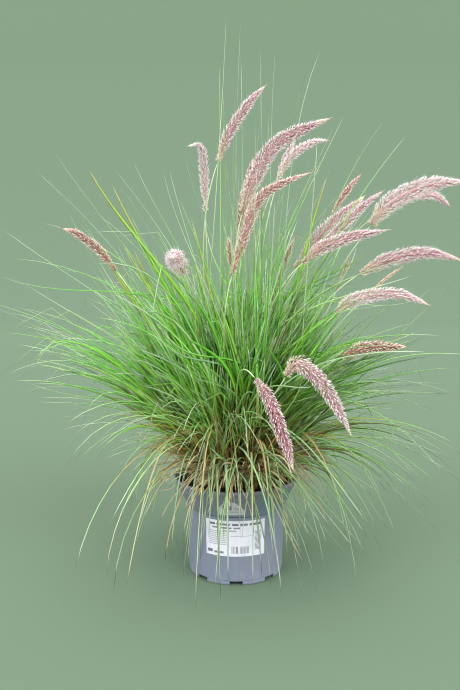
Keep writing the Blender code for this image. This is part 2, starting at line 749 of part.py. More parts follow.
def culm_line(foot, plume):
    """The culm's places: from its foot on the soil up and over to the base of its plume."""
    start = Vector((foot.x, foot.y, SOIL_TOP + GAP))
    line = plume_line(plume)
    neck = line[0]
    along = (line[1] - line[0]).normalized()
    chord = neck - start
    outward = level_direction(math.atan2(chord.y, chord.x))
    lift = math.radians(plume.lift)
    leave = start + CULM_LEAVE_PULL * chord.length * (math.cos(lift) * outward + math.sin(lift) * UP)
    arrive = neck - CULM_ARRIVE_PULL * chord.length * along
    controls = (start, leave, arrive, neck)
    shares = [0.0]
    for collar in COLLARS:
        shares += [collar, collar + COLLAR_LENGTH / chord.length]
    shares += [*CULM_BENDS, 1.0]
    return [bezier_at(controls, share) for share in shares], shares


def make_flowering_shoots(room):
    """Every culm with its plume; the blades are grown on the culms afterwards."""
    shoots = []
    for number, (foot, plume) in enumerate(zip(shoot_feet(), PLUMES), start=1):
        line, shares = culm_line(foot, plume)
        radii = [CULM_FOOT_RADIUS + (CULM_NECK_RADIUS - CULM_FOOT_RADIUS) * share for share in shares]
        collars = [1 + 2 * level for level in range(len(COLLARS))]
        shoot = Shoot(f"shoot_{number:02d}", line, radii, CULM_SIDES, collars)
        room.keep(balls_along(line, radii), shoot.name)
        make_plume(f"plume_{number:02d}", plume, room)
        shoots.append(shoot)
    return shoots


def make_tufts(room):
    """The leafy stubs in a ring round the flowering shoots, leaning a little outwards."""
    tufts = []
    for number in range(TUFT_COUNT):
        outward = level_direction(2 * math.pi * (number + 0.5) / TUFT_COUNT)
        shares = [0.0]
        for collar in TUFT_COLLARS:
            shares += [collar, collar + COLLAR_LENGTH / TUFT_HEIGHT]
        shares.append(1.0)
        foot = outward * TUFT_RING_RADIUS + UP * (SOIL_TOP + GAP)
        line = [
            foot + TUFT_HEIGHT * share * UP + TUFT_LEAN * share ** TUFT_BEND * outward
            for share in shares
        ]
        radii = [TUFT_RADIUS + (TUFT_TOP_RADIUS - TUFT_RADIUS) * share for share in shares]
        collars = [1 + 2 * level for level in range(len(TUFT_COLLARS))]
        tuft = Shoot(f"tuft_{number + 1:02d}", line, radii, TUFT_SIDES, collars)
        room.keep(balls_along(line, radii), tuft.name)
        tufts.append(tuft)
    return tufts


def clears_pot(balls):
    """Whether a blade stays off the pot, the soil and the ground."""
    for centre, radius in balls:
        out = math.hypot(centre.x, centre.y) - radius
        low = centre.z - radius
        if low < GROUND_CLEARANCE:
            return False
        if out < RIM_RADIUS + RIM_CLEARANCE and low < POT_HEIGHT + RIM_CLEARANCE and centre.z > RIM_ZONE:
            return False
        if centre.z < COLLAR_BASE and out < BODY_TOP_RADIUS + BODY_CLEARANCE:
            return False
    return True


def inside_box(places):
    """Whether a blade stays within the clump's overall box."""
    limits = Vector((REACH_X, REACH_Y, TOP)) + Vector((BOX_SLACK,) * 3)
    return all(
        abs(place.x) < limits.x and abs(place.y) < limits.y and place.z < limits.z
        for place in places
    )


def try_leaf(room, shoot, leaf):
    """Grow this blade on the shoot from the first collar where it has room, if there is one."""
    for level in range(len(shoot.free_faces)):
        face = shoot.best_face(level, leaf)
        if face is None:
            continue
        root = root_of(list(face.verts))
        places = blade_places(root, leaf)
        widths = blade_widths(leaf.width)
        balls = balls_along(places, [width / 2 for width in widths] + [BLADE_TIP_RADIUS])
        if inside_box(places) and clears_pot(balls) and room.is_free(balls, shoot.name, root):
            shoot.grow(level, face, places, widths)
            room.keep(balls, shoot.name)
            return True
    return False


def angle_between(first, second):
    """How far apart two azimuths are, either way round."""
    return abs(math.remainder(first - second, 2 * math.pi))


def grow_chosen_leaves(room, flowers, tufts):
    """The blades whose tips were read off the outline, each on the nearest shoot with room for it."""
    for leaves, shoots, most in (
        (TALL_LEAVES, flowers, BLADES_PER_SHOOT - 1),
        (WIDE_LEAVES, tufts, BLADES_PER_TUFT - 1),
        (FRONT_LEAVES, tufts, BLADES_PER_TUFT - 1),
    ):
        for leaf in leaves:
            azimuth = math.atan2(leaf.tip[1], leaf.tip[0])
            nearest = sorted(shoots, key=lambda shoot: angle_between(foot_azimuth(shoot), azimuth))
            if not any(shoot.blade_count() < most and try_leaf(room, shoot, leaf) for shoot in nearest):
                raise ValueError(f"no shoot has room for the blade to {leaf.tip}")


def foot_azimuth(shoot):
    """The direction from the pot's axis in which a shoot stands."""
    return math.atan2(shoot.line[0].y, shoot.line[0].x)


def grow_other_leaves(room, flowers, tufts):
    """The rest of the blades, drawn from the habits of each kind of shoot."""
    draw = random.Random(SEED)
    for shoots, habits, wanted in (
        (flowers, SHOOT_HABITS, BLADES_PER_SHOOT),
        (tufts, TUFT_HABITS, BLADES_PER_TUFT),
    ):
        for shoot in shoots:
            for _ in range(TRIES):
                if shoot.blade_count() >= wanted:
                    break
                habit = habits[shoot.blade_count() % len(habits)]
                try_leaf(room, shoot, drawn_leaf(draw, habit, foot_azimuth(shoot)))


def drawn_leaf(draw, habit, azimuth):
    """One blade of this habit, somewhere to the side of the azimuth that its shoot stands in."""
    outward = level_direction(azimuth + math.radians(draw.uniform(-habit.spread, habit.spread)))
    tip = outward * draw.uniform(*habit.reach) + UP * draw.uniform(*habit.height)
    return Leaf(tuple(tip), draw.uniform(*habit.rise), draw.uniform(*habit.fall), habit.swell)


if __name__ == "__main__":
    main()
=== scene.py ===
"""Potted fountain grass: the looks of its nursery pot, peat, stickers, leaves and flower heads.

Metres, +Z up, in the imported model's own frame. The courses of the leaves, culms and flower heads are
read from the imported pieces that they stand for, so each one grows where its solid is.
"""

import json
import logging
import math
from collections.abc import Callable
from dataclasses import dataclass, field
from enum import Enum

import bmesh
import bpy
import numpy as np
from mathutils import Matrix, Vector


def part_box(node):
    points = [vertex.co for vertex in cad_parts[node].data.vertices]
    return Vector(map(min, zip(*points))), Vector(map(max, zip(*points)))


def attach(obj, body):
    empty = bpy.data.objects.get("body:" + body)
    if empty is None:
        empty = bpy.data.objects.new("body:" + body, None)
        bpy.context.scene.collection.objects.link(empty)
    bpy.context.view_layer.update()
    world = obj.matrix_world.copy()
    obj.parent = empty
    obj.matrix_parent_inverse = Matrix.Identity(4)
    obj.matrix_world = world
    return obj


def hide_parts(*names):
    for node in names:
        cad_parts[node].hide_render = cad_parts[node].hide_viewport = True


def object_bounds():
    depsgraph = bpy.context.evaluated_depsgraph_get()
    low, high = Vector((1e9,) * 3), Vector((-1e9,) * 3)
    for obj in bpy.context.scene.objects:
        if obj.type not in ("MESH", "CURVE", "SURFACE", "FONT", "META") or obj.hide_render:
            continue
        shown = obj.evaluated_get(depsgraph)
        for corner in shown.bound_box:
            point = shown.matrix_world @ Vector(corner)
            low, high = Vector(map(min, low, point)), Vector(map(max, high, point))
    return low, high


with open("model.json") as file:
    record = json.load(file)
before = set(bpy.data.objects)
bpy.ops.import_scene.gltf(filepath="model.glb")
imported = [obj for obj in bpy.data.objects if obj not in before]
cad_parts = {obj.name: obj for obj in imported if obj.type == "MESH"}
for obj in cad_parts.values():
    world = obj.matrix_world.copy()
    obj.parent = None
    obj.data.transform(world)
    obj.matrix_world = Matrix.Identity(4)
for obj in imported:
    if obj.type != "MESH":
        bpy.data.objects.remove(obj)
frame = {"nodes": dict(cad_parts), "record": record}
cad_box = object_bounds()

Array = np.ndarray
Item = bpy.types.Object
Material = bpy.types.Material
Random = np.random.Generator
RadiusAt = Callable[[float], float]
Socket = bpy.types.NodeSocket
Colour = tuple[float, float, float]
Point = tuple[float, float, float]

# A least and a most, or where a smooth step starts, where it ends and how high it goes
Span = tuple[float, float]
Step = tuple[float, ...]

BODY = "root"
UP = np.array((0.0, 0.0, 1.0))
LEVEL = np.array((1.0, 1.0, 0.0))
SEED = 7

# Points closer than this are one point, and heights closer than this are one height
WELD = 1e-6
SAME_HEIGHT = 1e-4
NOTHING = 1e-6

# Shares of a blade's course at which its solid has its root, its rings and its tip
BLADE_SHARES = (0.0, 0.05, 0.28, 0.54, 0.78, 1.0)
BLADE_LAYERS = 4
TIP_REACH = 0.012

# A blade hangs in front of the pot if its tip is lower than this, and nearer to the front than this
FRONT_TIP_HEIGHT = 0.133
FRONT_TIP_DEPTH = -0.10

# Which of a culm's rings lie on its course, and the shares of the course that they lie at
CULM_RINGS = (0, 1, 3, 5, 7, 8)
CULM_SHARES = (0.0, 0.20, 0.34, 0.50, 0.82, 1.0)
CULM_STEPS = 34
CULM_RADII = (0.0013, 0.0008)
STALK_SIDES = 8

log = logging.getLogger("fountain_grass")


def srgb(*channels: int) -> Colour:
    """A linear colour from its red, green and blue as a screen shows them, each 0 to 255."""
    shares = (channel / 255 for channel in channels)
    return tuple(share / 12.92 if share <= 0.04045 else ((share + 0.055) / 1.055) ** 2.4 for share in shares)


class Value(Enum):
    """The values that a joined mesh carries at each of its points, for its finish to read."""

    ALONG = "along"
    ACROSS = "across"
    HUE = "hue"
    TONE = "tone"
    DRY = "dry"
    KIND = "kind"


class Kind(Enum):
    """What a small part of a flower head is."""

    STALK = 0.0
    SPIKELET = 0.33
    BARB = 0.67
    BRISTLE = 1.0


class Shading:
    """A new material's nodes, with short calls that each add a node and link what feeds it."""

    def __init__(self, name: str, roughness: float) -> None:
        """Start a material with one Principled shader.

        Args:
            name: the material's name.
            roughness: the shader's roughness, the same all over.
        """
        self.material = bpy.data.materials.new(name)
        self.material.use_nodes = True
        self.nodes = self.material.node_tree.nodes
        self.links = self.material.node_tree.links
        self.shader = self.nodes["Principled BSDF"]
        self.shader.inputs["Roughness"].default_value = roughness

    def feed(self, socket: Socket, value: Socket | Colour | float) -> None:
        """Link a socket to another, or set it to a constant.

        Args:
            socket: the input to feed.
            value: an output socket, a number or a colour.
        """
        if isinstance(value, Socket):
            self.links.new(value, socket)
        elif isinstance(value, tuple) and len(value) == 3 and socket.type == "RGBA":
            socket.default_value = (*value, 1.0)
        else:
            socket.default_value = value

    def attribute(self, value: Value) -> Socket:
        """Read a value that the mesh carries.

        Args:
            value: which value.

        Returns:
            The value's socket.
        """
        node = self.nodes.new("ShaderNodeAttribute")
        node.attribute_name = value.value
        return node.outputs["Fac"]

    def place(self) -> Socket:
        """The socket of the point's own place on the object."""
        return self.nodes.new("ShaderNodeTexCoord").outputs["Object"]

    def split(self, vector: Socket) -> tuple[Socket, ...]:
        """Part a vector.

        Args:
            vector: the vector's socket.

        Returns:
            The sockets of its X, Y and Z.
        """
        node = self.nodes.new("ShaderNodeSeparateXYZ")
        self.links.new(vector, node.inputs[0])
        return tuple(node.outputs)

    def height(self) -> Socket:
        """The socket of the point's own height on the object."""
        return self.split(self.place())[2]

    def maths(self, operation: str, first: Socket | float, second: Socket | float = 0.0,
              clamp: bool = False) -> Socket:
        """One sum.

        Args:
            operation: the Math node's operation.
            first: its first value or socket.
            second: its second value or socket.
            clamp: whether the result is kept from 0 to 1.

        Returns:
            The result's socket.
        """
        node = self.nodes.new("ShaderNodeMath")
        node.operation = operation
        node.use_clamp = clamp
        self.feed(node.inputs[0], first)
        self.feed(node.inputs[1], second)
        return node.outputs[0]

    def rise(self, value: Socket, low: float, high: float, top: float = 1.0) -> Socket:
        """A smooth step.

        Args:
            value: the socket that is read.
            low: where the step starts from 0.
            high: where it has reached its top.
            top: the result past the step.

        Returns:
            The step's socket.
        """
        node = self.nodes.new("ShaderNodeMapRange")
        node.interpolation_type = "SMOOTHSTEP"
        self.feed(node.inputs["Value"], value)
        node.inputs["From Min"].default_value = low
        node.inputs["From Max"].default_value = high
        node.inputs["To Max"].default_value = top
        return node.outputs["Result"]

    def mix(self, first: Socket | Colour, second: Socket | Colour, share: Socket | float) -> Socket:
        """Mix two colours.

        Args:
            first: the colour or socket at a share of 0.
            second: the colour or socket at a share of 1.
            share: the value or socket that mixes them.

        Returns:
            The mixed colour's socket.
        """
        node = self.nodes.new("ShaderNodeMix")
        node.data_type = "RGBA"
        self.feed(node.inputs["Factor"], share)
        self.feed(node.inputs["A"], first)
        self.feed(node.inputs["B"], second)
        return node.outputs["Result"]

    def ramp(self, value: Socket, stops: tuple[tuple[float, Colour], ...]) -> Socket:
        """Colours laid along a value.

        Args:
            value: the socket that is read.
            stops: each place along it with its colour.

        Returns:
            The colour's socket.
        """
        node = self.nodes.new("ShaderNodeValToRGB")
        self.feed(node.inputs["Fac"], value)
        elements = node.color_ramp.elements
        while len(elements) < len(stops):
            elements.new(1.0)
        for element, (place, colour) in zip(elements, stops):
            element.position = place
            element.color = (*colour, 1.0)
        return node.outputs["Color"]

    def noise(self, scale: float, detail: float = 3.0, stretch: Point = (1, 1, 1)) -> Socket:
        """Soft noise.

        Args:
            scale: how many features it has to the metre.
            detail: how many finer layers it has.
            stretch: how much finer it is along each axis.

        Returns:
            The noise's socket.
        """
        mapping = self.nodes.new("ShaderNodeMapping")
        mapping.inputs["Scale"].default_value = stretch
        self.feed(mapping.inputs["Vector"], self.place())
        node = self.nodes.new("ShaderNodeTexNoise")
        node.inputs["Scale"].default_value = scale
        node.inputs["Detail"].default_value = detail
        self.links.new(mapping.outputs["Vector"], node.inputs["Vector"])
        return node.outputs["Fac"]

    def bump(self, height: Socket, distance: float) -> None:
        """Raise the surface by a height socket.

        Args:
            height: the socket of the height.
            distance: how many metres a height of 1 stands for.
        """
        node = self.nodes.new("ShaderNodeBump")
        node.inputs["Distance"].default_value = distance
        self.feed(node.inputs["Height"], height)
        self.links.new(node.outputs["Normal"], self.shader.inputs["Normal"])

    def finish(self, colour: Socket | Colour, roughness: Socket | None = None) -> Material:
        """Feed the shader and hand the material over.

        Args:
            colour: the base colour or its socket.
            roughness: the socket of the roughness, or none to keep the constant one.

        Returns:
            The finished material.
        """
        self.feed(self.shader.inputs["Base Color"], colour)
        if roughness is not None:
            self.feed(self.shader.inputs["Roughness"], roughness)
        return self.material


@dataclass(frozen=True)
class GrassFinish:
    """Living and dry grass: a colour for each blade, paler at its tip, with a midrib and fine veins."""

    name: str
    cool: Colour = srgb(166, 220, 166)
    grassy: Colour = srgb(136, 224, 90)
    fresh: Colour = srgb(120, 230, 40)
    lime: Colour = srgb(190, 240, 50)
    shade: Colour = srgb(26, 110, 12)
    tip: Colour = srgb(208, 226, 194)
    straw: Colour = srgb(255, 238, 184)
    brown: Colour = srgb(255, 178, 98)
    blush: Colour = srgb(248, 212, 188)
    root: Colour = srgb(226, 160, 84)
    ripe: Colour = srgb(206, 186, 84)
    midrib: Colour = srgb(214, 236, 170)
    sheath_dark: Colour = srgb(122, 82, 44)
    roughness: float = 0.5
    lit_tones: Step = (0.0, 0.52)
    painted_highlight_tones: Step = (0.80, 1.20, 0.6)
    cool_hues: Step = (0.6, 0.2)
    cool_ends: Step = (0.55, 1.0, 0.8)
    all_ends: Step = (0.75, 1.0, 0.45)
    ripe_ends: Step = (0.55, 1.0, 0.7)
    ripe_hues: Step = (0.70, 0.76)
    crown_heights: Step = (0.350, 0.235)
    dull_tones: Step = (0.95, 0.55)
    dull_reach: Step = (0.80, 0.50, 0.9)
    base_reach: Step = (0.34, 0.08, 0.8)
    sheath_tones: Step = (0.30, 0.75)
    rib_edge: Step = (0.22, 0.02, 0.3)
    blotch_scale: float = 60.0
    straw_tones: Step = (0.30, 0.80)
    blush_hues: Step = (0.55, 0.85, 0.8)
    dried: Step = (0.15, 0.45)
    veins: float = 34.0
    vein_shade: Step = (0.2, 1.0, 0.16)
    vein_depth: float = 0.00006

    def material(self) -> Material:
        """Make the grass, which reads each blade's values.

        Returns:
            The material.
        """
        make = Shading(self.name, self.roughness)
        along, across = make.attribute(Value.ALONG), make.attribute(Value.ACROSS)
        tone, dry, hue = (make.attribute(value) for value in (Value.TONE, Value.DRY, Value.HUE))
        hues = ((0.0, self.cool), (0.18, self.grassy), (0.42, self.fresh), (1.0, self.lime))
        # Painted shade and painted highlight: blades of low tone darken towards the shade colour, and the
        # brightest pale towards the midrib's colour
        living = make.mix(self.shade, make.ramp(hue, hues), make.rise(tone, *self.lit_tones))
        living = make.mix(living, self.midrib, make.rise(tone, *self.painted_highlight_tones))
        paling = make.maths("MULTIPLY", make.rise(along, *self.cool_ends), make.rise(hue, *self.cool_hues))
        paling = make.maths("ADD", paling, make.rise(along, *self.all_ends), True)
        living = make.mix(living, self.tip, paling)
        ripeness = make.maths("MULTIPLY", make.rise(along, *self.ripe_ends), make.rise(hue, *self.ripe_hues))
        living = make.mix(living, self.ripe, ripeness)
        dull = make.maths("MULTIPLY", make.rise(tone, *self.dull_tones), make.rise(along, *self.dull_reach))
        ageing = make.maths("ADD", dull, make.rise(along, *self.base_reach), True)
        crown = make.maths("MULTIPLY", make.rise(make.height(), *self.crown_heights), ageing)
        sheath = make.mix(self.sheath_dark, self.root, make.rise(tone, *self.sheath_tones))
        living = make.mix(living, sheath, crown)
        rib = make.rise(make.maths("ABSOLUTE", across), *self.rib_edge)
        living = make.mix(living, self.midrib, rib)
        blotches = make.noise(self.blotch_scale, 4.0)
        bleached = make.rise(make.maths("ADD", tone, blotches), *self.straw_tones)
        dead = make.mix(self.brown, self.straw, bleached)
        dead = make.mix(dead, self.blush, make.rise(hue, *self.blush_hues))
        dryness = make.maths("MULTIPLY", dry, make.rise(blotches, *self.dried), True)
        colour = make.mix(living, dead, dryness)
        veins = make.maths("SINE", make.maths("MULTIPLY", across, self.veins))
        colour = make.mix(colour, self.shade, make.rise(veins, *self.vein_shade))
        make.bump(veins, self.vein_depth)
        return make.finish(colour)


@dataclass(frozen=True)
class FlowerFinish:
    """A flower head: dark spikelets packed round the stalk, with bristles that pale to their ends."""

    stalk: Colour
    floret: Colour
    floret_tip: Colour
    bristle: Colour
    bristle_tip: Colour
    foot: Colour
    tip: Colour = srgb(250, 244, 214)
    roughness: float = 0.62
    floret_ends: Step = (0.55, 1.0)
    barb_base: Step = (0.05, 0.25)
    barb_end: Step = (0.30, 0.70)
    dark_barbs: Step = (0.40, 0.10, 0.5)
    bristle_run: Step = (0.10, 0.90)
    foot_reach: Step = (0.28, 0.04, 0.55)
    tip_reach: Step = (0.82, 0.96, 0.9)

    def material(self, name: str) -> Material:
        """Make the head, which reads what each small part is.

        Args:
            name: the material's name.

        Returns:
            The material.
        """
        make = Shading(name, self.roughness)
        along, kind = make.attribute(Value.ALONG), make.attribute(Value.KIND)
        tone, place = make.attribute(Value.TONE), make.attribute(Value.HUE)
        floret = make.mix(self.floret, self.floret_tip, make.rise(along, *self.floret_ends))
        barb = make.mix(self.floret, self.bristle, make.rise(along, *self.barb_base))
        barb = make.mix(barb, self.bristle_tip, make.rise(along, *self.barb_end))
        barb = make.mix(barb, self.floret_tip, make.rise(tone, *self.dark_barbs))
        bristle = make.mix(self.floret_tip, self.bristle, make.rise(along, *self.bristle_run))
        colour = self.stalk
        # Each finer part takes over between the numbers of two kinds
        for part, step in ((floret, (0.15, 0.25)), (barb, (0.45, 0.55)), (bristle, (0.80, 0.90))):
            colour = make.mix(colour, part, make.rise(kind, *step))
        colour = make.mix(colour, self.foot, make.rise(place, *self.foot_reach))
        colour = make.mix(colour, self.tip, make.rise(place, *self.tip_reach))
        return make.finish(make.mix(colour, self.bristle_tip, make.attribute(Value.DRY)))


# The colours of each slot's stalk, floret, floret's tip, bristle, bristle's tip and foot
FLOWER_COLOURS = {
    "plume_pink": ((188, 142, 144), (194, 138, 148), (238, 202, 208), (255, 241, 242),
                   (255, 254, 253), (226, 216, 172)),
    "plume_pale": ((210, 168, 168), (220, 174, 178), (249, 226, 228), (255, 250, 249),
                   (255, 255, 255), (232, 222, 190)),
    "plume_beige": ((178, 130, 120), (186, 126, 120), (226, 184, 174), (251, 230, 220),
                    (255, 249, 245), (214, 190, 142)),
    "plume_red_brown": ((156, 108, 94), (158, 102, 90), (210, 164, 146), (248, 222, 206),
                        (255, 246, 234), (190, 160, 114)),
    "plume_mauve": ((180, 126, 136), (184, 118, 132), (228, 180, 188), (253, 226, 228),
                    (255, 250, 250), (220, 204, 190)),
    "plume_green": ((150, 126, 92), (160, 124, 98), (218, 190, 154), (244, 226, 200),
                    (254, 248, 234), (170, 176, 106)),
}
FLOWERS = {slot: FlowerFinish(*(srgb(*row) for row in rows)) for slot, rows in FLOWER_COLOURS.items()}


@dataclass(frozen=True)
class PlasticFinish:
    """Blue-grey moulded plastic, faintly mottled, dusty towards its foot, with fine scuffs and a painted
    shadow line under the collar's step.
    """

    colour: Colour = srgb(129, 140, 160)
    lilac: Colour = srgb(140, 143, 163)
    dust: Colour = srgb(190, 192, 194)
    scuff: Colour = srgb(200, 206, 218)
    # The painted shadow line under the collar's step: its colour, height, half width, dark core and strength
    painted_step_shadow: Colour = srgb(66, 70, 84)
    painted_shadow_height: float = 0.1102
    painted_shadow_half: float = 0.0011
    painted_shadow_core: float = 0.4
    painted_shadow_depth: float = 0.85
    patch_scale: float = 14.0
    grime_scale: float = 90.0
    scuff_scale: float = 420.0
    grain_scale: float = 900.0
    grain_depth: float = 0.00005
    patches: Step = (0.35, 0.70)
    dusty_heights: Step = (0.060, 0.0)
    dusty_spots: Step = (0.48, 0.70)
    dust_anywhere: float = 0.25
    dust_share: float = 0.12
    scuffs: Step = (0.66, 0.74, 0.5)
    roughness: float = 0.34
    grimy_roughness: float = 0.22

    def material(self) -> Material:
        """Make the plastic.

        Returns:
            The material.
        """
        make = Shading("pot_plastic", self.roughness)
        height = make.height()
        colour = make.mix(self.colour, self.lilac, make.rise(make.noise(self.patch_scale), *self.patches))
        grime = make.noise(self.grime_scale, 5.0, stretch=(1, 1, 0.35))
        low = make.maths("ADD", make.rise(height, *self.dusty_heights), self.dust_anywhere)
        dusty = make.maths("MULTIPLY", make.rise(grime, *self.dusty_spots), low, True)
        colour = make.mix(colour, self.dust, make.maths("MULTIPLY", dusty, self.dust_share))
        scuffs = make.rise(make.noise(self.scuff_scale, 2.0, stretch=(1, 1, 0.06)), *self.scuffs)
        colour = make.mix(colour, self.scuff, scuffs)
        # Painted shadow: a thin dark line just under the collar's step, where the step casts shade
        off_painted_shadow = make.maths("ABSOLUTE", make.maths("SUBTRACT", height, self.painted_shadow_height))
        core = self.painted_shadow_half * self.painted_shadow_core
        painted_step_shadow = make.rise(off_painted_shadow, self.painted_shadow_half, core, self.painted_shadow_depth)
        colour = make.mix(colour, self.painted_step_shadow, painted_step_shadow)
        make.bump(make.noise(self.grain_scale, 2.0), self.grain_depth)
        rough = make.maths("MULTIPLY", grime, self.grimy_roughness)
        return make.finish(colour, make.maths("ADD", rough, self.roughness))


@dataclass(frozen=True)
class PeatFinish:
    """Dark damp peat with paler crumbs and fibres."""

    dark: Colour = srgb(34, 24, 18)
    brown: Colour = srgb(84, 60, 42)
    fibre: Colour = srgb(140, 112, 80)
    roughness: float = 0.95
    lump_scale: float = 220.0
    lump_depth: float = 0.0012
    fibre_scale: float = 700.0
    brown_lumps: Step = (0.42, 0.72)
    fibres: Step = (0.66, 0.76, 0.7)

    def material(self) -> Material:
        """Make the peat.

        Returns:
            The material.
        """
        make = Shading("damp_peat", self.roughness)
        lumps = make.noise(self.lump_scale, 6.0)
        colour = make.mix(self.dark, self.brown, make.rise(lumps, *self.brown_lumps))
        fibres = make.rise(make.noise(self.fibre_scale, 2.0, stretch=(1, 0.25, 1)), *self.fibres)
        colour = make.mix(colour, self.fibre, fibres)
        make.bump(lumps, self.lump_depth)
        return make.finish(colour)


class Ink(Enum):
    """How a printed patch of a sticker is filled."""

    SOLID = "solid"
    RULES = "rules"
    BARS = "bars"


@dataclass(frozen=True)
class Patch:
    """A plain printed patch: its edges as shares of the sticker, and the stripes that fill it."""

    left: float
    right: float
    low: float
    high: float
    ink: Ink = Ink.SOLID
    stripes: float = 0.0
    strength: float = 0.7


@dataclass(frozen=True)
class StickerFinish:
    """White sticker paper with plain grey patches, rules and bars, and no lettering."""

    name: str
    patches: tuple[Patch, ...]
    paper: Colour = srgb(236, 234, 246)
    shade: Colour = srgb(206, 209, 226)
    ink: Colour = srgb(72, 74, 86)
    roughness: float = 0.38
    crease_scale: float = 30.0
    crease_depth: float = 0.0006
    creases: Step = (0.50, 0.80, 0.8)
    second_beat: float = 0.37
    second_share: float = 0.8

    def material(self) -> Material:
        """Make the sticker, which reads its own UV map.

        Returns:
            The material.
        """
        make = Shading(self.name, self.roughness)
        across, up, _ = make.split(make.nodes.new("ShaderNodeUVMap").outputs["UV"])
        creases = make.noise(self.crease_scale, 4.0)
        # Painted shade: the paper darkens towards its shade colour in the creases, besides the creases' bump
        colour = make.mix(self.paper, self.shade, make.rise(creases, *self.creases))
        for patch in self.patches:
            colour = make.mix(colour, self.ink, self.cover(make, patch, across, up))
        make.bump(creases, self.crease_depth)
        return make.finish(colour)

    def cover(self, make: Shading, patch: Patch, across: Socket, up: Socket) -> Socket:
        """How much ink a patch lays at each point.

        Args:
            make: the material's nodes.
            patch: the patch.
            across: the socket of the share across the sticker.
            up: the socket of the share up it.

        Returns:
            The socket of the ink's share.
        """
        inside = make.maths("GREATER_THAN", across, patch.left)
        for side, value, edge in (("LESS_THAN", across, patch.right), ("GREATER_THAN", up, patch.low),
                                  ("LESS_THAN", up, patch.high)):
            inside = make.maths("MULTIPLY", inside, make.maths(side, value, edge))
        if patch.ink is not Ink.SOLID:
            run = up if patch.ink is Ink.RULES else across
            wave = make.maths("SINE", make.maths("MULTIPLY", run, patch.stripes))
            if patch.ink is Ink.BARS:
                beat = make.maths("SINE", make.maths("MULTIPLY", run, patch.stripes * self.second_beat))
                wave = make.maths("ADD", wave, make.maths("MULTIPLY", beat, self.second_share))
            inside = make.maths("MULTIPLY", inside, make.maths("GREATER_THAN", wave, 0.0))
        return make.maths("MULTIPLY", inside, patch.strength)


# Rows of plain blocks on the large sticker: their edges, then each block's sides and strength
BLOCK_ROWS = (
    (0.865, 0.925, ((0.06, 0.17, 0.85), (0.19, 0.42, 0.80), (0.45, 0.55, 0.85), (0.58, 0.70, 0.80),
                    (0.73, 0.94, 0.85))),
    (0.775, 0.820, ((0.12, 0.24, 0.75), (0.27, 0.44, 0.80), (0.47, 0.58, 0.75))),
    (0.705, 0.735, ((0.30, 0.52, 0.60),)),
)
BODY_PRINT = (
    *(Patch(left, right, low, high, strength=strength)
      for low, high, blocks in BLOCK_ROWS for left, right, strength in blocks),
    Patch(0.05, 0.36, 0.30, 0.72, Ink.RULES, 120.0, 0.42),
    Patch(0.42, 0.78, 0.565, 0.578, strength=0.55),
    Patch(0.44, 0.55, 0.08, 0.28, Ink.BARS, 330.0, 0.85),
    Patch(0.58, 0.72, 0.08, 0.28, Ink.BARS, 290.0, 0.85),
    Patch(0.82, 0.93, 0.16, 0.70, Ink.RULES, 190.0, 0.80),
    Patch(0.03, 0.12, 0.08, 0.17, strength=0.85),
    Patch(0.15, 0.31, 0.07, 0.13, strength=0.8),
)
TAG_PRINT = (
    Patch(0.16, 0.30, 0.34, 0.66, strength=0.75),
    Patch(0.38, 0.50, 0.34, 0.62, strength=0.75),
    Patch(0.14, 0.86, 0.14, 0.26, Ink.RULES, 110.0, 0.5),
    Patch(0.58, 0.84, 0.34, 0.52, Ink.BARS, 210.0, 0.55),
)


@dataclass
class JoinedMesh:
    """Points, faces and values gathered from many small shapes, to become one mesh."""

    points: list[Array] = field(default_factory=list)
    faces: list[Array] = field(default_factory=list)
    values: list[dict[Value, Array]] = field(default_factory=list)
    count: int = 0

    def add(self, points: Array, faces: list[Array], values: dict[Value, Array]) -> None:
        """Take in some shapes.

        Args:
            points: their points, a row each.
            faces: their faces, as arrays of rows of point numbers.
            values: for each value, a number for each point.
        """
        self.points.append(points)
        self.faces.extend(rows + self.count for rows in faces)
        self.values.append(values)
        self.count += len(points)

    def build(self, name: str) -> Item:
        """Make the object.

        Args:
            name: the object's name.

        Returns:
            The object, linked to the scene at the origin.
        """
        mesh = bpy.data.meshes.new(name)
        corners = [rows.ravel() for rows in self.faces]
        sizes = np.concatenate([np.full(len(rows), rows.shape[1]) for rows in self.faces])
        mesh.vertices.add(self.count)
        mesh.vertices.foreach_set("co", np.concatenate(self.points).astype(np.float32).ravel())
        mesh.loops.add(int(sizes.sum()))
        mesh.loops.foreach_set("vertex_index", np.concatenate(corners).astype(np.int32))
        mesh.polygons.add(len(sizes))
        mesh.polygons.foreach_set("loop_start", np.concatenate(([0], np.cumsum(sizes)[:-1])).astype(np.int32))
        mesh.polygons.foreach_set("use_smooth", np.ones(len(sizes), bool))
        carried = set().union(*self.values)
        for value in (value for value in Value if value in carried):
            numbers = [values.get(value, np.zeros(len(points)))
                       for values, points in zip(self.values, self.points)]
            layer = mesh.attributes.new(value.value, "FLOAT", "POINT")
            layer.data.foreach_set("value", np.concatenate(numbers).astype(np.float32))
        mesh.update(calc_edges=True)
        item = bpy.data.objects.new(name, mesh)
        bpy.context.scene.collection.objects.link(item)
        return item


def unit(vectors: Array) -> Array:
    """The vectors at a length of 1, along the last axis, where a zero one stays zero."""
    return vectors / np.maximum(np.linalg.norm(vectors, axis=-1, keepdims=True), 1e-12)


def cubic_weights(shares: Array) -> Array:
    """A row of the four control points' weights for each share of a cubic course."""
    rest = 1 - shares
    return np.stack((rest ** 3, 3 * rest ** 2 * shares, 3 * rest * shares ** 2, shares ** 3), axis=1)


def fitted_course(places: Array, shares: tuple[float, ...]) -> Array:
    """The control points of the cubic course that runs nearest to some places at their shares."""
    return np.linalg.lstsq(cubic_weights(np.array(shares)), places, rcond=None)[0]


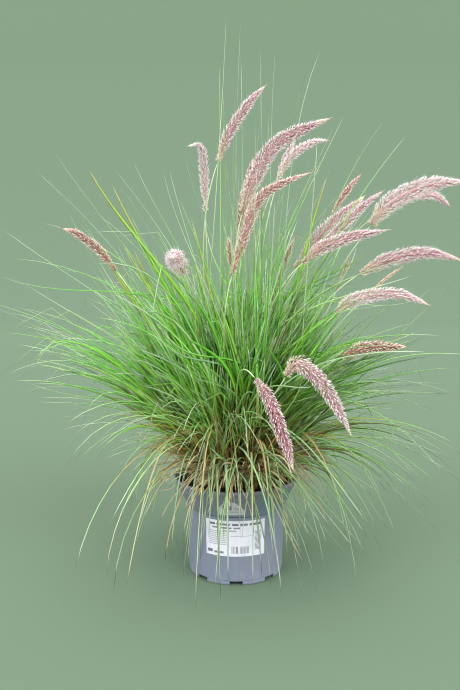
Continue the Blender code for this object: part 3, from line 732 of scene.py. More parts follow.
def smooth_path(knots: Array, count: int) -> Array:
    """Places on a smooth curve through some knots.

    Args:
        knots: the knots, a row each.
        count: how many places are wanted, the two ends included.

    Returns:
        The places, a row each.
    """
    padded = np.concatenate(([2 * knots[0] - knots[1]], knots, [2 * knots[-1] - knots[-2]]))
    at = np.linspace(0, len(knots) - 1, count)
    span = np.minimum(at.astype(int), len(knots) - 2)
    before, start, end, after = (padded[span + step] for step in range(4))
    controls = np.stack((start, start + (end - before) / 6, end - (after - start) / 6, end), axis=1)
    return np.einsum("nk,nkd->nd", cubic_weights(at - span), controls)


class NodeShape:
    """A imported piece's welded points, and which of them an edge joins."""

    def __init__(self, name: str) -> None:
        """Read a copy of the piece's mesh.

        Args:
            name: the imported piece's name.
        """
        mesh = bmesh.new()
        mesh.from_mesh(frame["nodes"][name].data)
        bmesh.ops.remove_doubles(mesh, verts=mesh.verts[:], dist=WELD)
        mesh.verts.index_update()
        self.points = np.array([corner.co[:] for corner in mesh.verts])
        self.joined = [{edge.other_vert(corner).index for edge in corner.link_edges} for corner in mesh.verts]
        mesh.free()

    def layers(self, start: set[int], barred: set[int] = frozenset()) -> list[list[int]]:
        """Step outwards over the edges.

        Args:
            start: the points to start from.
            barred: points that are never stepped on.

        Returns:
            The points of each step, the start's own first.
        """
        seen, layer, found = set(barred) | set(start), set(start), []
        while layer:
            found.append(sorted(layer))
            layer = {other for point in layer for other in self.joined[point]} - seen
            seen |= layer
        return found

    def is_blade_tip(self, point: int) -> bool:
        """Whether a point is a blade's tip, where three edges meet and all of them are long."""
        reach = np.linalg.norm(self.points[list(self.joined[point])] - self.points[point], axis=1)
        return len(reach) == 3 and reach.min() > TIP_REACH

    def blades(self) -> tuple[list["Blade"], set[int]]:
        """Read the blades of a shoot.

        Returns:
            The blades, and the numbers of all their points.
        """
        blades, used = [], set()
        for tip in range(len(self.points)):
            if not self.is_blade_tip(tip):
                continue
            rings = self.layers({tip})[1:BLADE_LAYERS + 2]
            places, width = [self.points[tip]], 0.0
            for ring in rings[:BLADE_LAYERS]:
                pairs = [(first, second) for first in ring for second in ring if first < second]
                first, second = max(pairs, key=lambda pair: self.distance(*pair))
                places.append((self.points[first] + self.points[second]) / 2)
                width = max(width, self.distance(first, second))
                used.update(ring)
            places.append(self.points[rings[-1]].mean(axis=0))
            used.add(tip)
            blades.append(Blade(fitted_course(np.array(places[::-1]), BLADE_SHARES), width))
        return blades, used

    def distance(self, first: int, second: int) -> float:
        """How far apart two points are."""
        return float(np.linalg.norm(self.points[first] - self.points[second]))

    def stem(self, barred: set[int]) -> Array:
        """Read a shoot's stem.

        Args:
            barred: the points of its blades.

        Returns:
            The middle of each of its rings, from its foot up.
        """
        own = [point for point in range(len(self.points)) if point not in barred]
        floor = min(self.points[point][2] for point in own)
        foot = {point for point in own if self.points[point][2] < floor + SAME_HEIGHT}
        return np.array([self.points[ring].mean(axis=0) for ring in self.layers(foot, barred)])


@dataclass
class Blade:
    """One grass blade: its course's four control points, its width and how it looks."""

    course: Array
    width: float
    hue: float = 0.5
    tone: float = 0.0
    dry: float = 0.0
    roll: float = 0.0
    twist: float = 0.0
    kink: float = 0.0

    @property
    def root(self) -> Array:
        """Where it leaves the crown."""
        return self.course[0]

    @property
    def tip(self) -> Array:
        """Where it ends."""
        return self.course[3]

    @property
    def in_front(self) -> bool:
        """Whether it hangs down in front of the pot."""
        return bool(self.tip[2] < FRONT_TIP_HEIGHT and self.tip[1] < FRONT_TIP_DEPTH)

    @property
    def steepness(self) -> float:
        """How steeply its tip stands over its root, in degrees."""
        chord = self.tip - self.root
        return math.degrees(math.atan2(chord[2], math.hypot(chord[0], chord[1])))


@dataclass(frozen=True)
class BladeShape:
    """How a blade is shaped along its length, for every blade alike."""

    segments: int = 12
    sides: int = 4
    root_share: float = 0.50
    widest: float = 0.22
    tip_share: float = 0.26
    tapering: float = 1.25
    thickness: float = 0.00035
    thickest: float = 0.35
    fold: float = 0.22
    kink_share: float = 0.72

    def widths(self, shares: Array) -> Array:
        """Find how wide a blade is.

        Args:
            shares: shares of its length.

        Returns:
            Its width at each, as a share of its full width.
        """
        opening = self.root_share + (1 - self.root_share) * np.clip(shares / self.widest, 0, 1)
        past = np.clip((shares - self.widest) / (1 - self.widest), 0, 1)
        return opening * (1 - (1 - self.tip_share) * past ** self.tapering)

    def add_to(self, joined: JoinedMesh, blades: list[Blade]) -> None:
        """Mesh the blades as thin folded strips that end in a point.

        Args:
            joined: the mesh that takes them in.
            blades: the blades.
        """
        shares = np.linspace(0, 1, self.segments + 1)
        courses = np.array([blade.course for blade in blades])
        roll, twist, width, kink, *looks = (
            np.array([getattr(blade, name) for blade in blades])
            for name in ("roll", "twist", "width", "kink", "hue", "tone", "dry"))
        places = np.einsum("mk,nkd->nmd", cubic_weights(shares), courses)
        places = self.kinked(places, shares, kink)
        along = unit(np.gradient(places, axis=1))
        chord = courses[:, 3] - courses[:, 0]
        level = unit(np.cross(UP, chord))[:, None, :] * np.ones((1, len(shares), 1))
        over = unit(np.cross(along, level))
        level = np.cross(over, along)
        turn = (roll[:, None] + twist[:, None] * shares)[..., None]
        side = level * np.cos(turn) + over * np.sin(turn)
        face = over * np.cos(turn) - level * np.sin(turn)
        half = self.widths(shares) * width[:, None] / 2
        lift = face * (half * self.fold * (1 - shares))[..., None]
        thick = face * np.minimum(self.thickness / 2, half * self.thickest)[..., None]
        edge = side * half[..., None]
        corners = [places + edge + lift, places + thick, places - edge + lift, places - thick]
        across = [1.0, 0.0, -1.0, 0.0]
        if self.sides == 3:
            del corners[1], across[1]
        rings = np.stack(corners, axis=2)
        points = np.concatenate((rings[:, :-1].reshape(len(blades), -1, 3), places[:, -1:]), axis=1)
        steps = np.repeat(shares[:-1], self.sides)
        values = {
            Value.ALONG: np.tile(np.append(steps, 1.0), len(blades)),
            Value.ACROSS: np.tile(np.append(np.tile(across, self.segments), 0.0), len(blades)),
        }
        for value, numbers in zip((Value.HUE, Value.TONE, Value.DRY), looks):
            values[value] = np.repeat(numbers, points.shape[1])
        joined.add(points.reshape(-1, 3), strip_faces(self.segments, self.sides, len(blades)), values)

    def kinked(self, places: Array, shares: Array, kinks: Array) -> Array:
        """Fold the ends of the blades that have a kink down by its angle.

        Args:
            places: the blades' places.
            shares: the share of the length that each one lies at.
            kinks: each blade's kink, in radians.

        Returns:
            The places with the kinks.
        """
        hinge = int(np.searchsorted(shares, self.kink_share))
        pivot = places[:, hinge:hinge + 1]
        arm = places[:, hinge:] - pivot
        axis = unit(np.cross(UP, places[:, -1] - places[:, 0]))[:, None]
        angle = kinks[:, None, None]
        turned = arm * np.cos(angle) + np.cross(axis, arm) * np.sin(angle)
        return np.concatenate((places[:, :hinge], pivot + turned), axis=1)


def strip_faces(rings: int, sides: int, copies: int) -> list[Array]:
    """Faces of some closed tubes that each end in a point.

    Args:
        rings: how many rings a tube has before the point.
        sides: how many points each ring has.
        copies: how many tubes there are, one after the other.

    Returns:
        Their quads, the triangles at their points and those that close their starts.
    """
    side = np.arange(sides)
    following = (side + 1) % sides
    quad = np.stack((side, following, following + sides, side + sides), axis=1)
    quads = (quad + np.arange(rings - 1)[:, None, None] * sides).reshape(-1, 4)
    last = (rings - 1) * sides
    point = np.full(sides, rings * sides)
    tips = np.stack((side + last, following + last, point), axis=1)
    middle = np.arange(1, sides - 1)
    caps = np.stack((np.zeros_like(middle), middle + 1, middle), axis=1)
    starts = np.arange(copies) * (rings * sides + 1)
    return [(rows[None] + starts[:, None, None]).reshape(-1, rows.shape[1]) for rows in (quads, tips, caps)]


def add_spines(joined: JoinedMesh, paths: Array, radii: Array, sides: int,
               values: dict[Value, Array]) -> None:
    """Mesh many round spines, each a tube along its own path to a point.

    Args:
        joined: the mesh that takes them in.
        paths: for each spine, its places.
        radii: for each spine, its radius at each place but the last.
        sides: how many sides they have.
        values: for each value, a number for each spine; the length is filled in here.
    """
    count, steps = paths.shape[:2]
    along = unit(np.gradient(paths, axis=1))
    chord = unit(paths[:, -1] - paths[:, 0])
    upright = np.abs(chord[:, 2:3]) > 0.9
    helper = np.where(upright, np.array((1.0, 0.0, 0.0)), UP)
    across = unit(np.cross(helper, chord))[:, None] * np.ones((1, steps, 1))
    over = unit(np.cross(along, across))
    across = np.cross(over, along)
    turns = 2 * math.pi * np.arange(sides) / sides
    ring = (across[:, :-1, None] * np.cos(turns)[:, None] + over[:, :-1, None] * np.sin(turns)[:, None])
    rings = paths[:, :-1, None] + ring * radii[:, :, None, None]
    points = np.concatenate((rings.reshape(count, -1, 3), paths[:, -1:]), axis=1)
    shares = np.append(np.repeat(np.linspace(0, 1, steps)[:-1], sides), 1.0)
    filled = {value: np.repeat(numbers, points.shape[1]) for value, numbers in values.items()}
    filled[Value.ALONG] = np.tile(shares, count)
    joined.add(points.reshape(-1, 3), strip_faces(steps - 1, sides, count), filled)


def dress(item: Item, material: Material, slot: str, *nodes: str) -> None:
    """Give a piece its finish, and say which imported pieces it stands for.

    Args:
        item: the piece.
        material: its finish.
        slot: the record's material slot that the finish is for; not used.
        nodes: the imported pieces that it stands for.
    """
    item.data.materials.clear()
    item.data.materials.append(material)
    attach(item, BODY)
    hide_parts(*nodes)
    faces = sum(len(face.vertices) - 2 for face in item.data.polygons)
    log.info("%s stands for %s, %d triangles", item.name, ", ".join(nodes), faces)


def stacked_rings(name: str, sides: int, rings: list[tuple[float, float]]) -> Item:
    """Raise a round shape from a disc, ring by ring, and close it.

    Args:
        name: the object's name.
        sides: how many sides it has.
        rings: the radius and the height of the disc and of each ring after it.

    Returns:
        The object.
    """
    radius, height = rings[0]
    bpy.ops.object.select_all(action="DESELECT")
    bpy.ops.mesh.primitive_circle_add(
        vertices=sides, radius=radius, fill_type="NGON", location=(0, 0, height))
    item = bpy.context.object
    item.name = item.data.name = name
    bpy.ops.object.transform_apply(location=True)
    bpy.ops.object.mode_set(mode="EDIT")
    bpy.ops.mesh.select_mode(type="EDGE")
    bpy.ops.mesh.select_all(action="SELECT")
    bpy.ops.mesh.region_to_loop()
    for next_radius, next_height in rings[1:]:
        bpy.ops.mesh.extrude_edges_move(TRANSFORM_OT_translate={"value": (0, 0, next_height - height)})
        factor = next_radius / radius
        bpy.ops.transform.resize(value=(factor, factor, 1), center_override=(0, 0, next_height))
        radius, height = next_radius, next_height
    bpy.ops.mesh.edge_face_add()
    bpy.ops.mesh.select_all(action="SELECT")
    bpy.ops.mesh.normals_make_consistent(inside=False)
    bpy.ops.object.mode_set(mode="OBJECT")
    return item


@dataclass
class NurseryPot:
    """The round plastic pot: a flared collar, a body, a foot ring with drain notches and a thin wall."""

    height: float
    rim_radius: float
    sides: int = 160
    rim_thickness: float = 0.0026
    rim_bead: float = 0.0045
    rim_chamfer: float = 0.0008
    bead_step: float = 0.0012
    bead_slope: float = 0.0010
    collar_base: float = 0.1115
    collar_base_radius: float = 0.0795
    body_top_radius: float = 0.0770
    body_foot_radius: float = 0.0750
    body_step: float = 0.0006
    wall: float = 0.0015
    inner_step: float = 0.0004
    inner_rise: float = 0.0014
    inner_drop: float = 0.0020
    foot_radius: float = 0.0742
    foot_line: float = 0.0078
    foot_ring_outer: float = 0.0725
    foot_ring_inner: float = 0.0690
    foot_chamfer: float = 0.0025
    underside: float = 0.0088
    floor_top: float = 0.0105
    notches: int = 8
    notch_size: Point = (0.012, 0.020, 0.007)
    edge_rounding: float = 0.0003
    rounded_from_deg: float = 28.0
    smooth_up_to_deg: float = 38.0

    @property
    def collar_top(self) -> float:
        """The height at which the collar meets the rim's bead."""
        return self.height - self.rim_bead - self.bead_slope

    def profile(self) -> list[tuple[float, float]]:
        """Lay out the half section, from the underside's disc up the outside and down the inside.

        Returns:
            The radius and the height of each of its corners.
        """
        inner_rim = self.rim_radius - self.rim_thickness
        return [
            (self.foot_ring_inner, self.underside),
            (self.foot_ring_inner, 0.0),
            (self.foot_ring_outer, 0.0),
            (self.foot_radius, self.foot_chamfer),
            (self.foot_radius, self.foot_line),
            (self.body_foot_radius, self.foot_line + self.body_step),
            (self.body_top_radius, self.collar_base - self.body_step),
            (self.collar_base_radius, self.collar_base),
            (self.rim_radius - self.bead_step, self.collar_top),
            (self.rim_radius, self.height - self.rim_bead),
            (self.rim_radius, self.height - self.rim_chamfer),
            (self.rim_radius - self.rim_chamfer, self.height),
            (inner_rim, self.height),
            (inner_rim - self.rim_chamfer, self.height - self.rim_bead),
            (self.collar_base_radius - self.wall - self.inner_step, self.collar_base + self.inner_rise),
            (self.body_top_radius - self.wall, self.collar_base - self.inner_drop),
            (self.body_foot_radius - self.wall, self.floor_top),
        ]

    def build(self) -> Item:
        """Raise the pot from its section, cut its notches and round its edges.

        Returns:
            The pot.
        """
        pot = stacked_rings("nursery_pot", self.sides, self.profile())
        self.cut_notches(pot)
        rounding = pot.modifiers.new("rounded_edges", "BEVEL")
        rounding.width = self.edge_rounding
        rounding.segments = 2
        rounding.angle_limit = math.radians(self.rounded_from_deg)
        bpy.context.view_layer.objects.active = pot
        bpy.ops.object.modifier_apply(modifier=rounding.name)
        pot.select_set(True)
        bpy.ops.object.shade_smooth_by_angle(angle=math.radians(self.smooth_up_to_deg))
        return pot

    def cut_notches(self, pot: Item) -> None:
        """Cut the drain notches through the foot ring.

        Args:
            pot: the pot without them.
        """
        length, width, tall = self.notch_size
        middle = (self.foot_ring_inner + self.foot_radius) / 2
        for number in range(self.notches):
            bpy.ops.object.select_all(action="DESELECT")
            turn = 2 * math.pi * number / self.notches
            bpy.ops.mesh.primitive_cube_add(
                size=1.0, rotation=(0, 0, turn),
                location=(middle * math.cos(turn), middle * math.sin(turn), 0.0))
            block = bpy.context.object
            block.scale = (length, width, 2 * tall)
            bpy.ops.object.transform_apply(location=False, rotation=True, scale=True)
            cut = pot.modifiers.new("drain_notch", "BOOLEAN")
            cut.operation = "DIFFERENCE"
            cut.object = block
            bpy.context.view_layer.objects.active = pot
            bpy.ops.object.modifier_apply(modifier=cut.name)
            bpy.data.objects.remove(block, do_unlink=True)

    def body_radius(self, height: float) -> float:
        """The outer radius on the body at a height."""
        share = (height - self.foot_line) / (self.collar_base - self.foot_line)
        return self.body_foot_radius + (self.body_top_radius - self.body_foot_radius) * share

    def collar_radius(self, height: float) -> float:
        """The outer radius on the collar at a height."""
        share = (height - self.collar_base) / (self.collar_top - self.collar_base)
        return self.collar_base_radius + (self.rim_radius - self.bead_step - self.collar_base_radius) * share


@dataclass
class Sticker:
    """A thin sheet wrapped on the pot, between two azimuths and a lower and an upper edge."""

    name: str
    node: str
    start_deg: float
    end_deg: float
    low: float
    tops: tuple[float, ...]
    finish: StickerFinish
    steps: int = 32
    gap: float = 0.00012
    thickness: float = 0.00030

    @property
    def top(self) -> float:
        """The height of its highest corner."""
        return max(self.tops)

    def build(self, radius_at: RadiusAt) -> Item:
        """Spin the sheet's section round the pot, then trim its upper edge.

        Args:
            radius_at: the pot's outer radius at a height.

        Returns:
            The sticker.
        """
        bpy.ops.object.select_all(action="DESELECT")
        bpy.ops.mesh.primitive_plane_add(size=1.0, location=(0, 0, 0), rotation=(math.pi / 2, 0, 0))
        sheet = bpy.context.object
        sheet.name = sheet.data.name = self.name
        bpy.ops.object.transform_apply(location=True, rotation=True)
        for corner in sheet.data.vertices:
            height = self.top if corner.co.z > 0 else self.low
            depth = self.gap + (self.thickness if corner.co.x > 0 else 0.0)
            corner.co = (radius_at(height) + depth, 0.0, height)
        bpy.ops.object.mode_set(mode="EDIT")
        bpy.ops.mesh.select_all(action="SELECT")
        bpy.ops.transform.rotate(
            value=-math.radians(self.start_deg), orient_axis="Z", center_override=(0, 0, 0))
        bpy.ops.mesh.spin(
            steps=self.steps, angle=-math.radians(self.end_deg - self.start_deg),
            center=(0, 0, 0), axis=(0, 0, 1))
        bpy.ops.mesh.select_all(action="SELECT")
        bpy.ops.mesh.normals_make_consistent(inside=False)
        bpy.ops.object.mode_set(mode="OBJECT")
        self.trim(sheet, radius_at)
        self.unwrap(sheet)
        return sheet

    def share_round(self, place: Vector) -> float:
        """How far round the sticker a place is, as a share from its start to its end."""
        azimuth = math.degrees(math.atan2(place.y, place.x))
        return (azimuth - self.start_deg) / (self.end_deg - self.start_deg)

    def trim(self, sheet: Item, radius_at: RadiusAt) -> None:
        """Bring the upper corners down to the sticker's own upper edge.

        Args:
            sheet: the sticker.
            radius_at: the pot's outer radius at a height.
        """
        for corner in sheet.data.vertices:
            if corner.co.z < self.top - SAME_HEIGHT:
                continue
            share = self.share_round(corner.co)
            height = float(np.interp(share, np.linspace(0, 1, len(self.tops)), self.tops))
            flat = Vector((corner.co.x, corner.co.y, 0.0))
            depth = flat.length - radius_at(self.top)
            corner.co = flat.normalized() * (radius_at(height) + depth) + Vector((0, 0, height))

    def unwrap(self, sheet: Item) -> None:
        """Lay the sticker's own map flat: across it from its start, and up it.

        Args:
            sheet: the sticker.
        """
        layer = sheet.data.uv_layers.active
        for loop in sheet.data.loops:
            place = sheet.data.vertices[loop.vertex_index].co
            up = (place.z - self.low) / (self.top - self.low)
            layer.data[loop.index].uv = (self.share_round(place), up)


# How deep the peat's smooth top lies under its crumbs, its height at the wall, and bare borders
PEAT_DIP = 0.0012
PEAT_EDGE = 0.145
PEAT_BORDER = 0.001
CRUMB_BORDER = 0.004


@dataclass
class PeatBed:
    """The peat that fills the pot, crumbly on top."""

    top: float
    edge: float
    radius: float
    pot: NurseryPot
    sides: int = 96
    rings: int = 26
    gap: float = 0.0004
    collar_gap: float = 0.0006
    dome: float = 3.2
    roughness: float = 0.0028
    lump_size: float = 0.007
    crumbs: int = 420
    crumb_reach: Span = (0.0012, 0.0032)
    crumb_slimness: float = 0.42
    fibre_share: float = 0.25
    fibre_stretch: float = 2.6
    fibre_reach: float = 0.0034
    fibre_slimness: float = 0.10

    def build(self) -> Item:
        """Raise the bed ring by ring, roughen its top and strew crumbs and fibres on it.

        Returns:
            The bed.
        """
        pot = self.pot
        steps = [(pot.body_foot_radius - pot.wall - self.gap, pot.floor_top + self.gap),
                 (pot.body_top_radius - pot.wall - self.gap, pot.collar_base - pot.inner_drop),
                 (pot.collar_base_radius - pot.wall - self.collar_gap - self.gap,
                  pot.collar_base + pot.inner_rise),
                 (self.radius, self.edge)]
        steps += [(self.radius * (1 - ring / self.rings), self.height_at(ring / self.rings))
                  for ring in range(1, self.rings)]
        bed = stacked_rings("peat", self.sides, steps)
        self.roughen(bed)
        self.strew(bed)
        return bed

    def height_at(self, share: float) -> float:
        """The top's height at a share of the way from its edge to its middle."""
        return self.edge + (self.top - self.edge) * min(1.0, share * self.dome)

    def roughen(self, bed: Item) -> None:
        """Push the top up and down by soft noise.

        Args:
            bed: the bed with a smooth top.
        """
        group = bed.vertex_groups.new(name="top")
        inner = [
            corner.index for corner in bed.data.vertices
            if corner.co.z > self.edge - SAME_HEIGHT and corner.co.xy.length < self.radius - PEAT_BORDER
        ]
        group.add(inner, 1.0, "REPLACE")
        texture = bpy.data.textures.new("peat_crumbs", "CLOUDS")
        texture.noise_scale = self.lump_size
        texture.noise_depth = 3
        push = bed.modifiers.new("crumbs", "DISPLACE")
        push.texture = texture
        push.texture_coords = "LOCAL"
        push.direction = "Z"
        push.mid_level = 0.5
        push.strength = self.roughness
        push.vertex_group = group.name
        bpy.context.view_layer.objects.active = bed
        bpy.ops.object.modifier_apply(modifier=push.name)
        for face in bed.data.polygons:
            face.use_smooth = face.center.z > self.edge - PEAT_BORDER

    def strew(self, bed: Item) -> None:
        """Join small crumbs and fibres to the bed's top.

        Args:
            bed: the bed.
        """
        draw = np.random.default_rng(SEED)
        joined = JoinedMesh()
        azimuth = draw.uniform(0, 2 * math.pi, self.crumbs)
        out = (self.radius - CRUMB_BORDER) * np.sqrt(draw.uniform(0.05, 1, self.crumbs))
        heights = np.array([self.height_at(1 - value / self.radius) for value in out])
        middle = np.stack((out * np.cos(azimuth), out * np.sin(azimuth), heights), axis=1)
        heading = unit(draw.normal(0, 1, (self.crumbs, 3)) * (1, 1, 0.35))
        reach = draw.uniform(*self.crumb_reach, (self.crumbs, 1)) * np.where(
            draw.uniform(0, 1, (self.crumbs, 1)) < self.fibre_share, self.fibre_stretch, 1.0)
        shares = np.array((-1.0, -0.4, 0.35, 1.0))
        paths = middle[:, None] + heading[:, None] * (reach * shares)[..., None]
        paths += draw.normal(0, 0.0003, paths.shape)
        slim = np.where(reach > self.fibre_reach, self.fibre_slimness, self.crumb_slimness)
        radii = reach * slim * np.array((0.45, 1.0, 0.8))
        add_spines(joined, paths, radii, 6, {Value.TONE: draw.uniform(0, 1, self.crumbs)})
        crumbs = joined.build("peat_crumbs")
        bpy.ops.object.select_all(action="DESELECT")
        crumbs.select_set(True)
        bed.select_set(True)
        bpy.context.view_layer.objects.active = bed
        bpy.ops.object.join()


@dataclass
class Surroundings:
    """What the blades must clear: the pot's outside, the peat and the ground, within the plant's box."""

    pot: NurseryPot
    soil_top: float
    mouth: float = 0.0885
    margin: float = 0.0028
    collar_margin: float = 0.004
    ground: float = 0.004
    box_slack: float = 0.004
    first_share: float = 0.04
    samples: int = 26

    def clears(self, course: Array) -> bool:
        """Tell whether a blade on this course clears them all.

        Args:
            course: the course's four control points.

        Returns:
            True if it does.
        """
        places = cubic_weights(np.linspace(self.first_share, 1, self.samples)) @ course
        low, high = (np.array(corner) for corner in cad_box)
        if (places < low - self.box_slack).any() or (places > high + self.box_slack).any():
            return False
        out, height = np.hypot(places[:, 0], places[:, 1]), places[:, 2]
        in_mouth = (out < self.mouth) & (height > self.soil_top)
        beside_collar = height > self.pot.collar_base - self.collar_margin
        wall = np.where(beside_collar, self.pot.rim_radius, self.pot.body_top_radius)
        beside = out > wall + self.margin
        above = height > self.pot.height + self.margin
        return bool((in_mouth | beside | above).all() and (height > self.ground).all())


@dataclass(frozen=True)
class Thicket:
    """How many blades grow beside those of a solid, how they stray, and what stands at their foot."""

    count: int
    yaw_deg: float
    lengths: Span
    bed: float
    straw: float = 0.0
    raised: float = 0.0
    rise_deg: Span = (62.0, 13.0)
    bundle: int = 1
    outermost: bool = False
    tillers: int = 0
    tiller_height: Span = (0.04, 0.13)
    stubs: int = 0
    tries: int = 14
    widths: Span = (0.70, 1.10)
    tone_spread: float = 0.26
    steepness_deg: tuple[float, ...] = (-40, 0, 25, 45)
    steepness_weights: tuple[float, ...] = (0.02, 0.05, 0.25, 1.0)
    tall_tip: float = 0.64
    tall_weight: float = 0.45
    front_weight: float = 0.3
    far_power: int = 4
    sister_yaw_deg: float = 5.0
    sister_pitch_deg: float = 3.5
    sister_lengths: Span = (0.72, 1.04)
    sister_bed: float = 0.0025
    sister_widths: Span = (0.85, 1.1)
    steepest_deg: float = 88.0
    straightening: Span = (0.35, 0.85)
    tip_stray: float = 0.06
    bend_stray: Span = (0.030, 0.02)
    root_limit: float = 0.066

    def fill(self, mains: list[Blade], foot: Array, around: Surroundings, draw: Random) -> list[Blade]:
        """Grow the blades.

        Args:
            mains: the blades of the solid.
            foot: where the shoot stands on the peat.
            around: what the blades must clear.
            draw: the random numbers.

        Returns:
            The new blades.
        """
        grown: list[Blade] = []
        weights = self.weights(mains)
        for _ in range(self.count):
            for _ in range(self.tries):
                model = mains[draw.choice(len(mains), p=weights)]
                course = self.stray(model, foot, draw)
                if around.clears(course):
                    width, tone = model.width * draw.uniform(*self.widths), draw.normal(0, self.tone_spread)
                    grown.append(Blade(course, width, tone=tone))
                    grown += self.sisters(grown[-1], around, draw)
                    break
        return grown

    def weights(self, mains: list[Blade]) -> Array:
        """Weigh how often each blade is the model for a new one.

        Args:
            mains: the blades of the solid.

        Returns:
            The chance of each.
        """
        if self.outermost:
            reach = np.array([np.linalg.norm(blade.tip - CROWN_MIDDLE) for blade in mains])
            weights = reach ** self.far_power
            weights *= [self.front_weight if blade.in_front else 1.0 for blade in mains]
        else:
            weights = np.array([
                np.interp(blade.steepness, self.steepness_deg, self.steepness_weights) for blade in mains])
            weights *= [self.tall_weight if blade.tip[2] > self.tall_tip else 1.0 for blade in mains]
        return weights / weights.sum()

    def sisters(self, blade: Blade, around: Surroundings, draw: Random) -> list[Blade]:
        """Further blades from the same stem, nearly alike.

        Args:
            blade: the blade that they grow beside.
            around: what the blades must clear.
            draw: the random numbers.

        Returns:
            The further blades.
        """
        found = []
        for _ in range(self.bundle - 1):
            yaw = math.radians(draw.normal(0, self.sister_yaw_deg))
            shape = turned(blade.course - blade.root, UP, yaw)
            level = unit(np.cross(shape[3], UP))
            pitch = math.radians(draw.normal(0, self.sister_pitch_deg))
            shape = turned(shape, level, pitch) * draw.uniform(*self.sister_lengths)
            course = blade.root + draw.normal(0, self.sister_bed, 3) * LEVEL + shape
            if around.clears(course):
                width = blade.width * draw.uniform(*self.sister_widths)
                found.append(Blade(course, width, tone=blade.tone))
        return found

    def stray(self, model: Blade, foot: Array, draw: Random) -> Array:
        """A course like another, from a root of its own.

        Args:
            model: the blade that it is like.
            foot: where the shoot stands on the peat.
            draw: the random numbers.

        Returns:
            The course's control points.
        """
        shape = turned(model.course - model.root, UP, math.radians(draw.normal(0, self.yaw_deg)))
        rise = draw.normal(*self.rise_deg)
        if draw.uniform() < self.raised and model.steepness < rise:
            level = unit(np.cross(shape[3], UP))
            shape = turned(shape, level, math.radians(min(rise, self.steepest_deg) - model.steepness))
            straight = np.outer((0, 1 / 3, 2 / 3, 1), shape[3])
            shape = shape + (straight - shape) * draw.uniform(*self.straightening)
        shape = shape * draw.uniform(*self.lengths)
        reach = np.linalg.norm(shape[3])
        shape[3, 2] += reach * draw.normal(0, self.tip_stray)
        for bend, stray in zip((2, 1), self.bend_stray):
            shape[bend] += reach * draw.normal(0, stray, 3)
        root = foot + draw.normal(0, self.bed, 3) * LEVEL
        root[:2] *= min(1.0, self.root_limit / max(np.hypot(*root[:2]), NOTHING))
        root[2] = foot[2] + draw.uniform(0, 1) ** 2 * max(0.0, model.root[2] - foot[2])
        return root + shape


FLOWERING_THICKET = Thicket(count=10, yaw_deg=24, lengths=(0.50, 0.98), bed=0.010, raised=0.6, bundle=3,
                            tillers=3, tiller_height=(0.05, 0.13), stubs=3)
TUFT_THICKET = Thicket(count=48, yaw_deg=24, lengths=(0.48, 0.90), bed=0.012, straw=0.006, raised=0.97,
                       rise_deg=(67.0, 9.0), bundle=4, tillers=14, stubs=16)
FRINGE = Thicket(count=26, yaw_deg=34, lengths=(0.72, 1.08), bed=0.014, raised=0.35, rise_deg=(48.0, 16.0))
OUTER = Thicket(count=32, yaw_deg=19, lengths=(0.70, 1.04), bed=0.010, outermost=True)
WISPS = Thicket(count=6, yaw_deg=14, lengths=(0.80, 1.06), bed=0.008, outermost=True)
CROWN_MIDDLE = np.array((0.0, 0.0, 0.16))


class Side(Enum):
    """Which side of the pot a tuft stands on."""

    FRONT = "front"
    FLANK = "flank"
    BACK = "back"

    @classmethod
    def of(cls, foot: Array) -> "Side":
        """The side that a foot stands on."""
        facing = cls.FRONT if foot[1] < 0 else cls.BACK
        return cls.FLANK if abs(foot[1]) < abs(foot[0]) else facing


@dataclass(frozen=True)
class HangingHabit:
    """How blades hang from a tuft, as the ranges that their courses and looks are drawn from."""

    counts: dict[Side, int]
    sway: float
    reach: Span
    height: Span
    rise_deg: Span
    fall_deg: Span
    width: Span
    pull: Span = (0.38, 0.46)
    dry: Span = (0.8, 1.0)
    hue: Span = (0.0, 1.0)
    tone: Span = (0.1, 1.1)
    root_share: Span = (0.35, 1.05)
    root_lift: Span = (0.0, 0.02)
    tip_stray: float = 0.012
    bend_stray: float = 0.004
    least_twist: float = 0.3
    dry_twist: float = 1.7


# Straw over the rim, dry threads at the sides, dry stubs in the crown, and green blades that fall far
HANGING = (
    HangingHabit({Side.FRONT: 96, Side.FLANK: 18, Side.BACK: 18}, sway=0.42, reach=(0.080, 0.150),
                 height=(0.050, 0.200), rise_deg=(5.0, 74.0), fall_deg=(20.0, 88.0), width=(0.0030, 0.0048),
                 dry=(0.9, 1.0), tone=(0.0, 1.3)),
    HangingHabit({Side.FRONT: 8, Side.FLANK: 26, Side.BACK: 8}, sway=0.50, reach=(0.10, 0.20),
                 height=(0.15, 0.29), rise_deg=(8.0, 42.0), fall_deg=(-15.0, 45.0), width=(0.0018, 0.0028),
                 hue=(0.6, 1.0), tone=(0.4, 1.2)),
    HangingHabit({Side.FRONT: 40, Side.FLANK: 10, Side.BACK: 8}, sway=0.50, reach=(0.045, 0.090),
                 height=(0.18, 0.31), rise_deg=(50.0, 88.0), fall_deg=(-70.0, 30.0), width=(0.0024, 0.0044),
                 hue=(0.0, 0.6), tone=(0.0, 0.8)),
    HangingHabit({Side.FRONT: 5, Side.FLANK: 3, Side.BACK: 3}, sway=0.75, reach=(0.11, 0.20),
                 height=(0.02, 0.13), rise_deg=(70.0, 86.0), fall_deg=(72.0, 89.0), width=(0.0028, 0.0040),
                 pull=(0.80, 1.05), dry=(0.0, 0.0), hue=(0.0, 0.14), tone=(0.70, 1.05)),
)


def turned(points: Array, axis: Array, angle: float) -> Array:
    """The points, turned by an angle in radians round an axis of length 1 through the origin."""
    kept = (points @ axis)[:, None] * axis * (1 - math.cos(angle))
    return points * math.cos(angle) + np.cross(axis, points) * math.sin(angle) + kept


